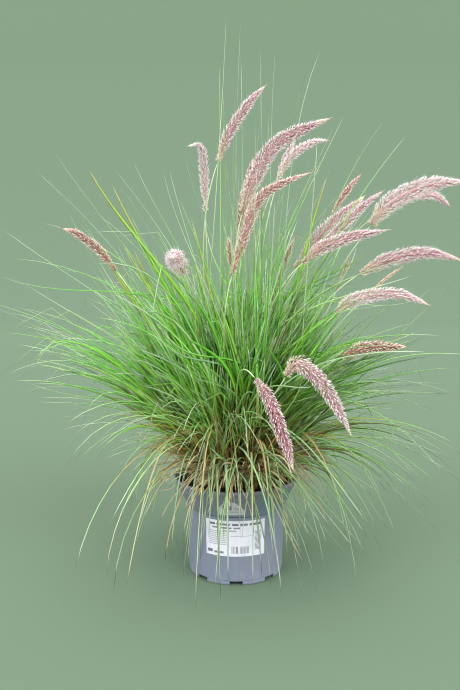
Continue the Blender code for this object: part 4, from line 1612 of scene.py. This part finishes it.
@dataclass
class Looks:
    """How each blade looks: its hue, tone, width, roll, twist and kink, drawn at random.

    A blade is outer from a reach of its tip, and low under a steepness, each coming on over a run. Hue
    and tone change with both, and with each metre to the right, where the rise in tone is painted light.
    """

    draw: Random
    outer_from: float = 0.36
    outer_run: float = 0.10
    low_under_deg: float = 38.0
    low_run_deg: float = 15.0
    hue: float = 0.49
    slim_hue: float = 0.30
    right_hue: float = 0.1
    hue_spread: float = 0.17
    last_hue: float = 0.70
    tone: float = 0.62
    outer_tone: float = 0.22
    low_tone: float = 0.16
    painted_light_rightward: float = 0.34
    tone_spread: float = 0.20
    last_tone: float = 1.2
    roll_spread: float = 0.6
    twist_spread: float = 0.8
    width: float = 0.80
    slim_width: float = 0.36
    kinked: float = 0.025
    outer_kinked: float = 3.0
    kinked_heights: Span = (0.22, 0.62)
    kink: Span = (0.7, 1.5)
    front_width: float = 0.72
    front_hue: Span = (0.0, 0.10)
    front_tone: Span = (0.60, 1.0)
    front_dry_share: float = 0.34
    front_dry_width: float = 0.7
    front_dry: Span = (0.3, 0.7)
    front_dry_hue: float = 0.1
    broad_from: float = 0.0078
    broad_width: float = 0.88
    broad_hue: Span = (0.74, 0.80)
    broad_tone: Span = (0.40, 0.55)
    broad_roll: Span = (1.2, 1.5)
    straw_dry: Span = (0.6, 1.0)

    def give(self, blades: list[Blade], straw: float) -> None:
        """Draw the looks of some blades.

        Args:
            blades: the blades.
            straw: the share of them that are dry.
        """
        draw = self.draw
        for blade in blades:
            lean = blade.tip - blade.root
            sideways = abs(lean[0]) / max(np.hypot(lean[0], lean[1]), NOTHING)
            reach = np.linalg.norm(blade.tip - CROWN_MIDDLE)
            outer = float(np.clip((reach - self.outer_from) / self.outer_run, 0, 1))
            low = float(np.clip((self.low_under_deg - blade.steepness) / self.low_run_deg, 0, 1))
            slim = max(outer, low)
            hue = self.hue - self.slim_hue * slim + self.right_hue * blade.tip[0]
            blade.hue = float(np.clip(draw.normal(hue, self.hue_spread), 0, self.last_hue))
            # Painted light: blades are lighter the further right they stand
            tone = self.tone + self.outer_tone * outer + self.low_tone * low + self.painted_light_rightward * blade.tip[0]
            tone = draw.normal(tone, self.tone_spread) + blade.tone
            blade.tone = float(np.clip(tone, 0.0, self.last_tone))
            blade.roll = draw.normal(0.5 * math.pi * sideways, self.roll_spread)
            blade.twist = draw.normal(0, self.twist_spread)
            if blade.in_front:
                self.give_in_front(blade)
            elif blade.width > self.broad_from:
                blade.width *= self.broad_width
                blade.hue, blade.tone = draw.uniform(*self.broad_hue), draw.uniform(*self.broad_tone)
                blade.roll, blade.twist = draw.uniform(*self.broad_roll), 0.0
            else:
                blade.width *= self.width - self.slim_width * slim
                lowest, highest = self.kinked_heights
                kinked = draw.uniform() < self.kinked * (1 + self.outer_kinked * outer)
                if kinked and lowest < blade.tip[2] < highest:
                    blade.kink = draw.uniform(*self.kink)
            if draw.uniform() < straw:
                blade.dry, blade.tone = draw.uniform(*self.straw_dry), draw.uniform(0, 1)

    def give_in_front(self, blade: Blade) -> None:
        """Draw the looks of a blade that hangs in front of the pot.

        Args:
            blade: the blade.
        """
        draw = self.draw
        blade.width *= self.front_width
        blade.hue, blade.tone = draw.uniform(*self.front_hue), draw.uniform(*self.front_tone)
        blade.roll = 0.0
        if draw.uniform() < self.front_dry_share:
            blade.width *= self.front_dry_width
            blade.dry, blade.hue = draw.uniform(*self.front_dry), self.front_dry_hue


@dataclass
class Crown:
    """The bases of the shoots: sheathed tillers, dry blades that fall over the rim, and dead stubs."""

    around: Surroundings
    draw: Random
    tries: int = 12
    tiller_radius: float = 0.0017
    tiller_lean: Span = (0.1, 0.5)
    tiller_stray: float = 0.12
    tiller_bed: float = 0.0065
    tiller_bend: float = 1.6
    tiller_width: Span = (0.6, 1.15)
    tiller_hue: Span = (0.2, 0.8)
    tiller_tone: Span = (-0.3, 0.6)
    tiller_dry: Span = (0.75, 0.25)
    stub_sway: float = 0.9
    stub_bed: float = 0.008
    stub_height: Span = (0.018, 0.060)
    stub_lean: Span = (0.1, 1.1)
    stub_width: Span = (0.0018, 0.0040)

    def tillers(self, joined: JoinedMesh, foot: Array, heading: Array, thicket: Thicket) -> None:
        """Add sheathed stems round a foot.

        Args:
            joined: the mesh that takes them in.
            foot: where they stand.
            heading: the level direction that they lean in.
            thicket: says how many there are, and how tall.
        """
        draw, count = self.draw, thicket.tillers
        steps = np.linspace(0, 1, 7)
        tall = draw.uniform(*thicket.tiller_height, count)
        lean = heading * (tall * draw.uniform(*self.tiller_lean, count))[:, None]
        lean += draw.normal(0, self.tiller_stray, (count, 3)) * tall[:, None] * LEVEL
        start = foot + draw.normal(0, self.tiller_bed, (count, 3)) * LEVEL
        paths = start[:, None] + UP * (tall[:, None] * steps)[..., None]
        paths += lean[:, None] * (steps ** self.tiller_bend)[:, None]
        radii = self.tiller_radius * draw.uniform(*self.tiller_width, (count, 1)) * np.linspace(1.0, 0.5, 6)
        values = {
            Value.HUE: draw.uniform(*self.tiller_hue, count),
            Value.TONE: draw.uniform(*self.tiller_tone, count),
            Value.DRY: np.clip(draw.normal(*self.tiller_dry, count), 0, 1),
        }
        add_spines(joined, paths, radii, 6, values)

    def hanging(self, foot: Array, habit: HangingHabit) -> list[Blade]:
        """Blades that lean out of the crown and hang over.

        Args:
            foot: where the shoot that they hang from stands.
            habit: how they hang.

        Returns:
            The blades.
        """
        draw, blades = self.draw, []
        wanted = habit.counts[Side.of(foot)]
        for _ in range(wanted * self.tries):
            if len(blades) == wanted:
                break
            azimuth = math.atan2(foot[1], foot[0]) + draw.normal(0, habit.sway)
            outward = np.array((math.cos(azimuth), math.sin(azimuth), 0.0))
            root = foot * LEVEL * draw.uniform(*habit.root_share)
            root = root + UP * (foot[2] + draw.uniform(*habit.root_lift))
            tip = outward * draw.uniform(*habit.reach) + UP * draw.uniform(*habit.height)
            tip += np.array((*draw.normal(0, habit.tip_stray, 2), 0.0))
            pull = draw.uniform(*habit.pull) * np.linalg.norm(tip - root)
            rise, fall = np.radians((draw.uniform(*habit.rise_deg), draw.uniform(*habit.fall_deg)))
            course = np.array((
                root, root + pull * (math.cos(rise) * outward + math.sin(rise) * UP),
                tip - pull * (math.cos(fall) * outward - math.sin(fall) * UP), tip))
            course[1:3] += draw.normal(0, habit.bend_stray, (2, 3))
            if self.around.clears(course):
                blade = Blade(course, draw.uniform(*habit.width), tone=draw.uniform(*habit.tone))
                blade.dry, blade.hue = draw.uniform(*habit.dry), draw.uniform(*habit.hue)
                blade.roll = draw.normal(0, blade.dry)
                blade.twist = draw.normal(0, habit.least_twist + habit.dry_twist * blade.dry)
                blades.append(blade)
        return blades

    def stubs(self, foot: Array, count: int) -> list[Blade]:
        """Short dead blades that stand up round a foot.

        Args:
            foot: where they stand.
            count: how many there are.

        Returns:
            The blades.
        """
        draw, blades = self.draw, []
        for _ in range(count):
            azimuth = math.atan2(foot[1], foot[0]) + draw.normal(0, self.stub_sway)
            outward = np.array((math.cos(azimuth), math.sin(azimuth), 0.0))
            root = foot + draw.normal(0, self.stub_bed, 3) * LEVEL
            tall, lean = draw.uniform(*self.stub_height), draw.uniform(*self.stub_lean)
            tip = root + tall * (lean * outward + UP)
            course = np.array((root, root + 0.4 * tall * UP, tip - 0.3 * tall * outward, tip))
            if self.around.clears(course):
                blade = Blade(course, draw.uniform(*self.stub_width), tone=draw.uniform(0, 1), dry=1.0)
                blade.roll, blade.twist = draw.normal(0, 1.0), draw.normal(0, 1.0)
                blades.append(blade)
        return blades


CULM_LOOKS = {Value.HUE: 0.34, Value.TONE: 0.20, Value.DRY: 0.10}


@dataclass
class Shoot:
    """A flowering shoot or a leaf tuft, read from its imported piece."""

    node: str
    blades: list[Blade]
    stem: Array

    @classmethod
    def read(cls, node: str) -> "Shoot":
        """Read the shoot's blades and stem.

        Args:
            node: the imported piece's name.

        Returns:
            The shoot.
        """
        shape = NodeShape(node)
        blades, used = shape.blades()
        return cls(node, blades, shape.stem(used))

    @property
    def foot(self) -> Array:
        """Where it stands on the peat."""
        return self.stem[0]

    @property
    def flowers(self) -> bool:
        """Whether its stem has all the rings of a culm."""
        return len(self.stem) == CULM_RINGS[-1] + 1

    def build(self, name: str, thicket: Thicket, crown: Crown, looks: Looks) -> Item:
        """Mesh the shoot with all its blades.

        Args:
            name: the piece's name.
            thicket: how its further blades grow.
            crown: the maker of the bases of shoots.
            looks: what draws the blades' looks.

        Returns:
            The shoot's piece.
        """
        joined = JoinedMesh()
        draw = looks.draw
        grown = thicket.fill(self.blades, self.foot, crown.around, draw)
        for further in (WISPS,) if self.flowers else (FRINGE, OUTER):
            grown += further.fill(self.blades, self.foot, crown.around, draw)
        looks.give(self.blades + grown, thicket.straw)
        if self.flowers:
            self.add_culm(joined)
        crown.tillers(joined, self.foot, unit(self.stem[-1] * LEVEL), thicket)
        for habit in () if self.flowers else HANGING:
            grown += crown.hanging(self.foot, habit)
        grown += crown.stubs(self.foot, thicket.stubs)
        BladeShape().add_to(joined, self.blades)
        BladeShape(segments=10, sides=3).add_to(joined, grown)
        return joined.build(name)

    def add_culm(self, joined: JoinedMesh) -> None:
        """Add the thin stem under the flower head.

        Args:
            joined: the mesh that takes it in.
        """
        course = fitted_course(self.stem[list(CULM_RINGS)], CULM_SHARES)
        path = cubic_weights(np.linspace(0, 1, CULM_STEPS)) @ course
        radii = np.linspace(*CULM_RADII, CULM_STEPS - 1)
        values = {value: np.array([number]) for value, number in CULM_LOOKS.items()}
        add_spines(joined, path[None], radii[None], STALK_SIDES, values)


@dataclass(frozen=True)
class HeadLayer:
    """One layer of a flower head: many alike small parts in a spiral."""

    kind: Kind
    density: float
    angles_deg: Span
    reach: float
    longest: float
    radius: float
    sides: int
    steps: tuple[float, ...]
    shape: tuple[float, ...]
    shift: float = 0.0
    spread: float = 0.07
    jitter: float = 0.10
    full_size: float = 0.0044
    last_share: float = 0.985
    base_share: float = 0.06
    base_flare_deg: float = 48.0
    base_fullness: float = 0.6
    ring_stray: float = 0.22
    inward: float = 0.92
    past_tip: float = 1.03
    least_size: float = 0.0022
    least_depth: float = 0.08
    bow: Span = (-0.04, 0.06)
    thickness: Span = (0.8, 1.2)
    least_thickness: float = 0.45


# How full a head's brush is against its solid, where it isn't the same
FULLNESS = {
    "plume_01": 0.90, "plume_02": 0.94, "plume_03": 0.90, "plume_08": 1.10, "plume_09": 1.15,
    "plume_12": 1.15, "plume_16": 0.62, "plume_17": 0.92, "plume_18": 1.25, "plume_19": 0.66,
    "plume_20": 0.90, "plume_21": 0.88, "plume_22": 0.86,
}
# How much a head is bleached, where it is
PALENESS = {
    "plume_01": 0.42, "plume_05": 0.24, "plume_06": 0.14, "plume_08": 0.10, "plume_14": 0.08,
    "plume_18": 0.20, "plume_21": 0.10, "plume_23": 0.08, "plume_24": 0.22,
}
LINE_STEPS = 97
LINE_STRIDE = 4
WHORL_GAP = 0.0020
LEAST_WHORL = 4

# The share of a head over which it tapers to its tip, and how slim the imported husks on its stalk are
TAPER = 0.30
TAPER_END = 0.05
CORE = 0.20
CORE_START = 0.08
STALK_RADII = (0.0011, 0.0005)
LAYERS = (
    HeadLayer(Kind.SPIKELET, density=2.4e5, angles_deg=(24.0, 42.0), reach=0.80, longest=0.0050,
              radius=0.00088, sides=4, steps=(0.0, 0.25, 0.65, 1.0), shape=(0.5, 1.0, 0.7), last_share=0.95,
              jitter=0.25, spread=0.10),
    HeadLayer(Kind.BARB, density=3.6e5, angles_deg=(32.0, 52.0), reach=1.04, longest=0.0047,
              radius=0.00048, sides=4, steps=(0.0, 0.30, 0.75, 1.0), shape=(0.6, 1.0, 0.8), shift=0.5,
              jitter=0.40, spread=0.14),
    HeadLayer(Kind.BRISTLE, density=3.2e5, angles_deg=(28.0, 52.0), reach=1.18, longest=0.0080,
              radius=0.00023, sides=3, steps=(0.0, 1.0), shape=(1.0,), spread=0.22, jitter=3.0),
)


def taper(shares: Array) -> Array:
    """How full a head is at shares of its length, for the taper to its tip."""
    return np.clip((1.0 - shares) / TAPER, TAPER_END, 1) ** 0.5


@dataclass
class FlowerHead:
    """A bottle-brush flower head on its own curved stalk."""

    node: str
    knots: Array
    radii: Array
    line: Array = field(init=False)
    length: float = field(init=False)
    reached: Array = field(init=False)
    knots_reached: Array = field(init=False)
    frames: tuple[Array, ...] = field(init=False)

    def __post_init__(self) -> None:
        """Lay out the stalk's smooth line, and the directions along, across and over it."""
        self.line = smooth_path(self.knots, LINE_STEPS)
        steps = np.linalg.norm(np.diff(self.line, axis=0), axis=1)
        self.length = float(steps.sum())
        self.reached = np.append(0, np.cumsum(steps)) / self.length
        at_knots = np.linspace(0, LINE_STEPS - 1, len(self.knots))
        self.knots_reached = np.interp(at_knots, np.arange(LINE_STEPS), self.reached)
        along = unit(np.gradient(self.line, axis=0))
        chord = self.line[-1] - self.line[0]
        side = unit(np.cross(UP, chord if np.hypot(*chord[:2]) > 1e-3 else np.array((1.0, 0, 0))))
        over = unit(np.cross(along, side))
        self.frames = (along, np.cross(over, along), over)

    @classmethod
    def read(cls, node: str, neck: Array) -> "FlowerHead":
        """Read the head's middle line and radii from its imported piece.

        Args:
            node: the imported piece's name.
            neck: where the culm under it ends.

        Returns:
            The head.
        """
        shape = NodeShape(node)
        base = int(np.argmin(np.linalg.norm(shape.points - neck, axis=1)))
        rings = [shape.points[ring] for ring in shape.layers({base})]
        middles = np.array([ring.mean(axis=0) for ring in rings])
        radii = [np.linalg.norm(ring - middle, axis=1).mean() for ring, middle in zip(rings, middles)]
        return cls(node, middles, np.array(radii) * FULLNESS.get(node, 1.0))

    def build(self, name: str, draw: Random) -> Item:
        """Mesh the stalk, the florets and barbs round it and their bristles.

        Args:
            name: the piece's name.
            draw: the random numbers.

        Returns:
            The head's piece.
        """
        joined = JoinedMesh()
        self.add_stalk(joined)
        for layer in LAYERS:
            self.add_layer(joined, layer, draw)
        return joined.build(name)

    def at(self, shares: Array) -> tuple[Array, ...]:
        """Places and directions on the stalk.

        Args:
            shares: the shares of the head's length.

        Returns:
            The places, the directions along, across and over it, and the head's radii there.
        """
        found = [np.stack([np.interp(shares, self.reached, values[:, axis]) for axis in range(3)], axis=1)
                 for values in (self.line, *self.frames)]
        radii = np.interp(shares, self.knots_reached, self.radii)
        return (*found, radii)

    def add_stalk(self, joined: JoinedMesh) -> None:
        """Add the stalk inside the head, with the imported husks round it.

        Args:
            joined: the mesh that takes it in.
        """
        path, shares = self.line[::LINE_STRIDE], self.reached[::LINE_STRIDE][:-1]
        packed = np.interp(shares, self.knots_reached, self.radii) * CORE
        packed *= np.clip(shares / CORE_START, 0, 1) * taper(shares)
        radii = np.maximum(packed, np.linspace(*STALK_RADII, len(shares)))
        middle = np.array([0.5])
        values = {
            Value.KIND: np.array([Kind.STALK.value]), Value.TONE: middle, Value.HUE: middle,
            Value.DRY: np.array([0.0]),
        }
        add_spines(joined, path[None], radii[None], STALK_SIDES, values)

    def add_layer(self, joined: JoinedMesh, layer: HeadLayer, draw: Random) -> None:
        """Add one layer of the head's small parts, in one long spiral.

        Args:
            joined: the mesh that takes them in.
            layer: the layer.
            draw: the random numbers.
        """
        whorl = max(LEAST_WHORL, round(layer.density * WHORL_GAP * float(self.radii[1:-1].mean())))
        whorls = max(LEAST_WHORL, int(self.length * layer.last_share / WHORL_GAP))
        ring = np.repeat(np.arange(whorls), whorl)
        count = len(ring)
        shares = (ring + layer.shift + draw.normal(0, layer.ring_stray, count)) / whorls * layer.last_share
        shares = np.clip(shares, 0.0, 1.0)
        place, along, side, over, radii = self.at(shares)
        radii = radii * taper(shares)
        turn = 2 * math.pi * (np.tile(np.arange(whorl), whorls) + 0.5 * (ring % 2)) / whorl
        turn += draw.normal(0, layer.jitter, count)
        outward = side * np.cos(turn)[:, None] + over * np.sin(turn)[:, None]
        near_base = np.clip(1 - shares / layer.base_share, 0, 1)
        angle = np.radians(draw.uniform(*layer.angles_deg, count) + layer.base_flare_deg * near_base)
        full = np.maximum(radii, layer.base_fullness * self.radii.max() * (near_base > 0))
        reach = full * layer.reach * draw.uniform(1 - layer.spread, 1 + layer.spread, count)
        size = np.minimum(reach * layer.inward / np.sin(angle), layer.longest)
        size = np.minimum(size, np.maximum(self.length * (layer.past_tip - shares), layer.least_size))
        heading = along * np.cos(angle)[:, None] + outward * np.sin(angle)[:, None]
        depth = np.maximum(reach - size * np.sin(angle), layer.least_depth * radii)
        steps = np.array(layer.steps)
        start = place + outward * depth[:, None]
        paths = start[:, None] + heading[:, None] * (size[:, None] * steps)[..., None]
        bow = draw.uniform(*layer.bow, count) * size
        paths += outward[:, None] * (bow[:, None] * steps * steps)[..., None]
        thick = layer.radius * draw.uniform(*layer.thickness, count)
        thick = thick * np.clip(size / layer.full_size, layer.least_thickness, 1.0)
        values = {
            Value.KIND: np.full(count, layer.kind.value), Value.TONE: draw.uniform(0, 1, count),
            Value.HUE: shares, Value.DRY: np.full(count, PALENESS.get(self.node, 0.0)),
        }
        add_spines(joined, paths, thick[:, None] * np.array(layer.shape), layer.sides, values)


@dataclass(frozen=True)
class PaperFinish:
    """Matt green backdrop paper, toned down with height where the lights fall on it more squarely."""

    colour: Colour = srgb(110, 134, 109)
    heights: tuple[float, ...] = (0.0, 0.09, 0.33, 0.62, 0.93, 1.26, 1.58, 1.89)
    shares: tuple[float, ...] = (0.90, 0.803, 0.777, 0.789, 0.814, 0.879, 0.962, 1.016)
    roughness: float = 0.9

    def material(self, top: float) -> Material:
        """The paper as a material.

        Args:
            top: how high the paper hangs.

        Returns:
            The material.
        """
        make = Shading("floor_paper", self.roughness)
        stops = tuple(
            (place / top, tuple(channel * share for channel in self.colour))
            for place, share in zip(self.heights, self.shares))
        return make.finish(make.ramp(make.maths("DIVIDE", make.height(), top), stops))


@dataclass(frozen=True)
class Studio:
    """The plain pale floor that curves up behind, the soft lights and the camera."""

    floor_width: float = 9.0
    floor_front: float = -4.0
    floor_back: float = 2.4
    cove_radius: float = 1.8
    cove_steps: int = 24
    wall_top: float = 3.2
    sky: float = 0.60
    key: float = 1.7
    fill: float = 1.6
    low: float = 1.05
    top: float = 1.1
    softness_deg: float = 40.0
    camera_place: Point = (-0.0094, -1.20, 0.528)
    camera_dip_deg: float = 7.85
    lens_mm: float = 40.43
    sensor_mm: float = 36.0
    nearest: float = 0.05
    pixel_filter: float = 1.1

    def build(self) -> None:
        """Set the stage up."""
        self.build_floor()
        self.build_lights()
        self.build_camera()

    def build_floor(self) -> None:
        """Lay the floor and curve its back edge up to a wall, step by step."""
        bpy.ops.object.select_all(action="DESELECT")
        bpy.ops.mesh.primitive_plane_add(size=1.0)
        floor = bpy.context.object
        floor.name = floor.data.name = "studio_floor"
        for corner in floor.data.vertices:
            corner.select = corner.co.y > 0
            depth = self.floor_back if corner.select else self.floor_front
            corner.co = (corner.co.x * self.floor_width, depth, 0)
        for edge in floor.data.edges:
            edge.select = all(floor.data.vertices[end].select for end in edge.vertices)
        for face in floor.data.polygons:
            face.select = False
        bpy.ops.object.mode_set(mode="EDIT")
        bpy.ops.mesh.select_mode(type="EDGE")
        turns = np.linspace(0, math.pi / 2, self.cove_steps + 1)
        places = np.stack((self.cove_radius * np.sin(turns), self.cove_radius * (1 - np.cos(turns))), axis=1)
        steps = [*np.diff(places, axis=0), (0.0, self.wall_top - self.cove_radius)]
        for back, rise in steps:
            bpy.ops.mesh.extrude_edges_move(TRANSFORM_OT_translate={"value": (0, back, rise)})
        bpy.ops.object.mode_set(mode="OBJECT")
        bpy.ops.object.shade_smooth()
        floor.data.materials.append(PaperFinish().material(self.wall_top))

    def build_lights(self) -> None:
        """Hang five soft lights and set an even sky."""
        world = bpy.data.worlds.new("studio_sky")
        world.use_nodes = True
        world.node_tree.nodes["Background"].inputs["Color"].default_value = (1.0, 1.0, 1.0, 1.0)
        world.node_tree.nodes["Background"].inputs["Strength"].default_value = self.sky
        bpy.context.scene.world = world
        for name, azimuth, height, strength, colour in (
            ("key_light", -124.0, 44.0, self.key, (1.0, 0.98, 1.0)),
            ("fill_light", -56.0, 38.0, self.fill, (1.0, 0.98, 1.0)),
            ("left_light", -156.0, 13.0, self.low, (1.0, 0.97, 1.04)),
            ("right_light", -26.0, 13.0, self.low, (1.0, 0.97, 1.04)),
            ("top_light", 80.0, 82.0, self.top, (1.0, 1.0, 1.0)),
        ):
            light = bpy.data.lights.new(name, "SUN")
            light.color = colour
            light.angle = math.radians(self.softness_deg)
            light.energy = strength
            lamp = bpy.data.objects.new(name, light)
            lamp.rotation_euler = (math.radians(90 - height), 0, math.radians(azimuth + 90))
            bpy.context.scene.collection.objects.link(lamp)

    def build_camera(self) -> None:
        """Stand the camera where the photograph was taken from."""
        data = bpy.data.cameras.new("camera")
        data.lens = self.lens_mm
        data.sensor_width = self.sensor_mm
        data.clip_start = self.nearest
        camera = bpy.data.objects.new("camera", data)
        camera.location = self.camera_place
        camera.rotation_euler = (math.radians(90 - self.camera_dip_deg), 0, 0)
        bpy.context.scene.collection.objects.link(camera)
        bpy.context.scene.camera = camera
        bpy.context.scene.view_settings.view_transform = "Standard"
        bpy.context.scene.cycles.filter_width = self.pixel_filter


# How far under the peat's top a blade may start, and the tag's upper edge from its left to its right
SOIL_SLACK = 0.001
TAG_TOPS = (0.1270, 0.1425, 0.1370, 0.1230)


def slot_of(node: str) -> str:
    """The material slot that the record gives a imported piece."""
    return next(row["material_slot"] for row in frame["record"]["subparts"] if row["node"] == node)


def make_pot() -> NurseryPot:
    """Make the pot, its stickers and its peat.

    Returns:
        The pot's sizes.
    """
    low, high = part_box("pot")
    pot = NurseryPot(height=high.z - low.z, rim_radius=high.x)
    dress(pot.build(), PlasticFinish().material(), "pot", "pot")
    _, soil_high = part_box("soil")
    bed = PeatBed(top=soil_high.z - PEAT_DIP, edge=PEAT_EDGE, radius=soil_high.x, pot=pot)
    dress(bed.build(), PeatFinish().material(), "soil", "soil")
    label_low, label_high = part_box("label")
    label = Sticker("body_sticker", "label", start_deg=-126.6, end_deg=-55.6, low=label_low.z,
                    tops=(label_high.z,) * 2, finish=StickerFinish("sticker_paper", BODY_PRINT))
    tag_low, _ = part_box("small_label")
    tag = Sticker("collar_tag", "small_label", start_deg=-108.0, end_deg=-81.0, low=tag_low.z, tops=TAG_TOPS,
                  finish=StickerFinish("tag_paper", TAG_PRINT, paper=srgb(206, 208, 212)))
    for sticker, radius_at in ((label, pot.body_radius), (tag, pot.collar_radius)):
        dress(sticker.build(radius_at), sticker.finish.material(), "label", sticker.node)
    return pot


def make_plant(pot: NurseryPot) -> None:
    """Make the shoots, the tufts and the flower heads.

    Args:
        pot: the pot that the blades must clear.
    """
    draw = np.random.default_rng(SEED)
    around = Surroundings(pot, soil_top=float(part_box("soil")[1].z) - SOIL_SLACK)
    crown, looks = Crown(around, draw), Looks(draw)
    leaf, sheath = GrassFinish("green_grass").material(), GrassFinish("tuft_grass").material()
    heads = {slot: finish.material(slot.replace("plume", "flower")) for slot, finish in FLOWERS.items()}
    nodes = sorted(frame["nodes"])
    for node in (name for name in nodes if name.startswith("tuft_")):
        tuft = Shoot.read(node)
        piece = tuft.build(node.replace("tuft", "leaf_fan"), TUFT_THICKET, crown, looks)
        dress(piece, sheath, slot_of(node), node)
    for node in (name for name in nodes if name.startswith("shoot_")):
        shoot = Shoot.read(node)
        piece = shoot.build(node.replace("shoot", "flowering_stem"), FLOWERING_THICKET, crown, looks)
        dress(piece, leaf, slot_of(node), node)
        plume = node.replace("shoot", "plume")
        head = FlowerHead.read(plume, shoot.stem[-1]).build(plume.replace("plume", "flower_head"), draw)
        dress(head, heads[slot_of(plume)], slot_of(plume), plume)


def main() -> None:
    """Build every piece in order."""
    logging.basicConfig(level=logging.INFO, format="%(name)s: %(message)s")
    make_plant(make_pot())
    Studio().build()


if __name__ == "__main__":
    main()
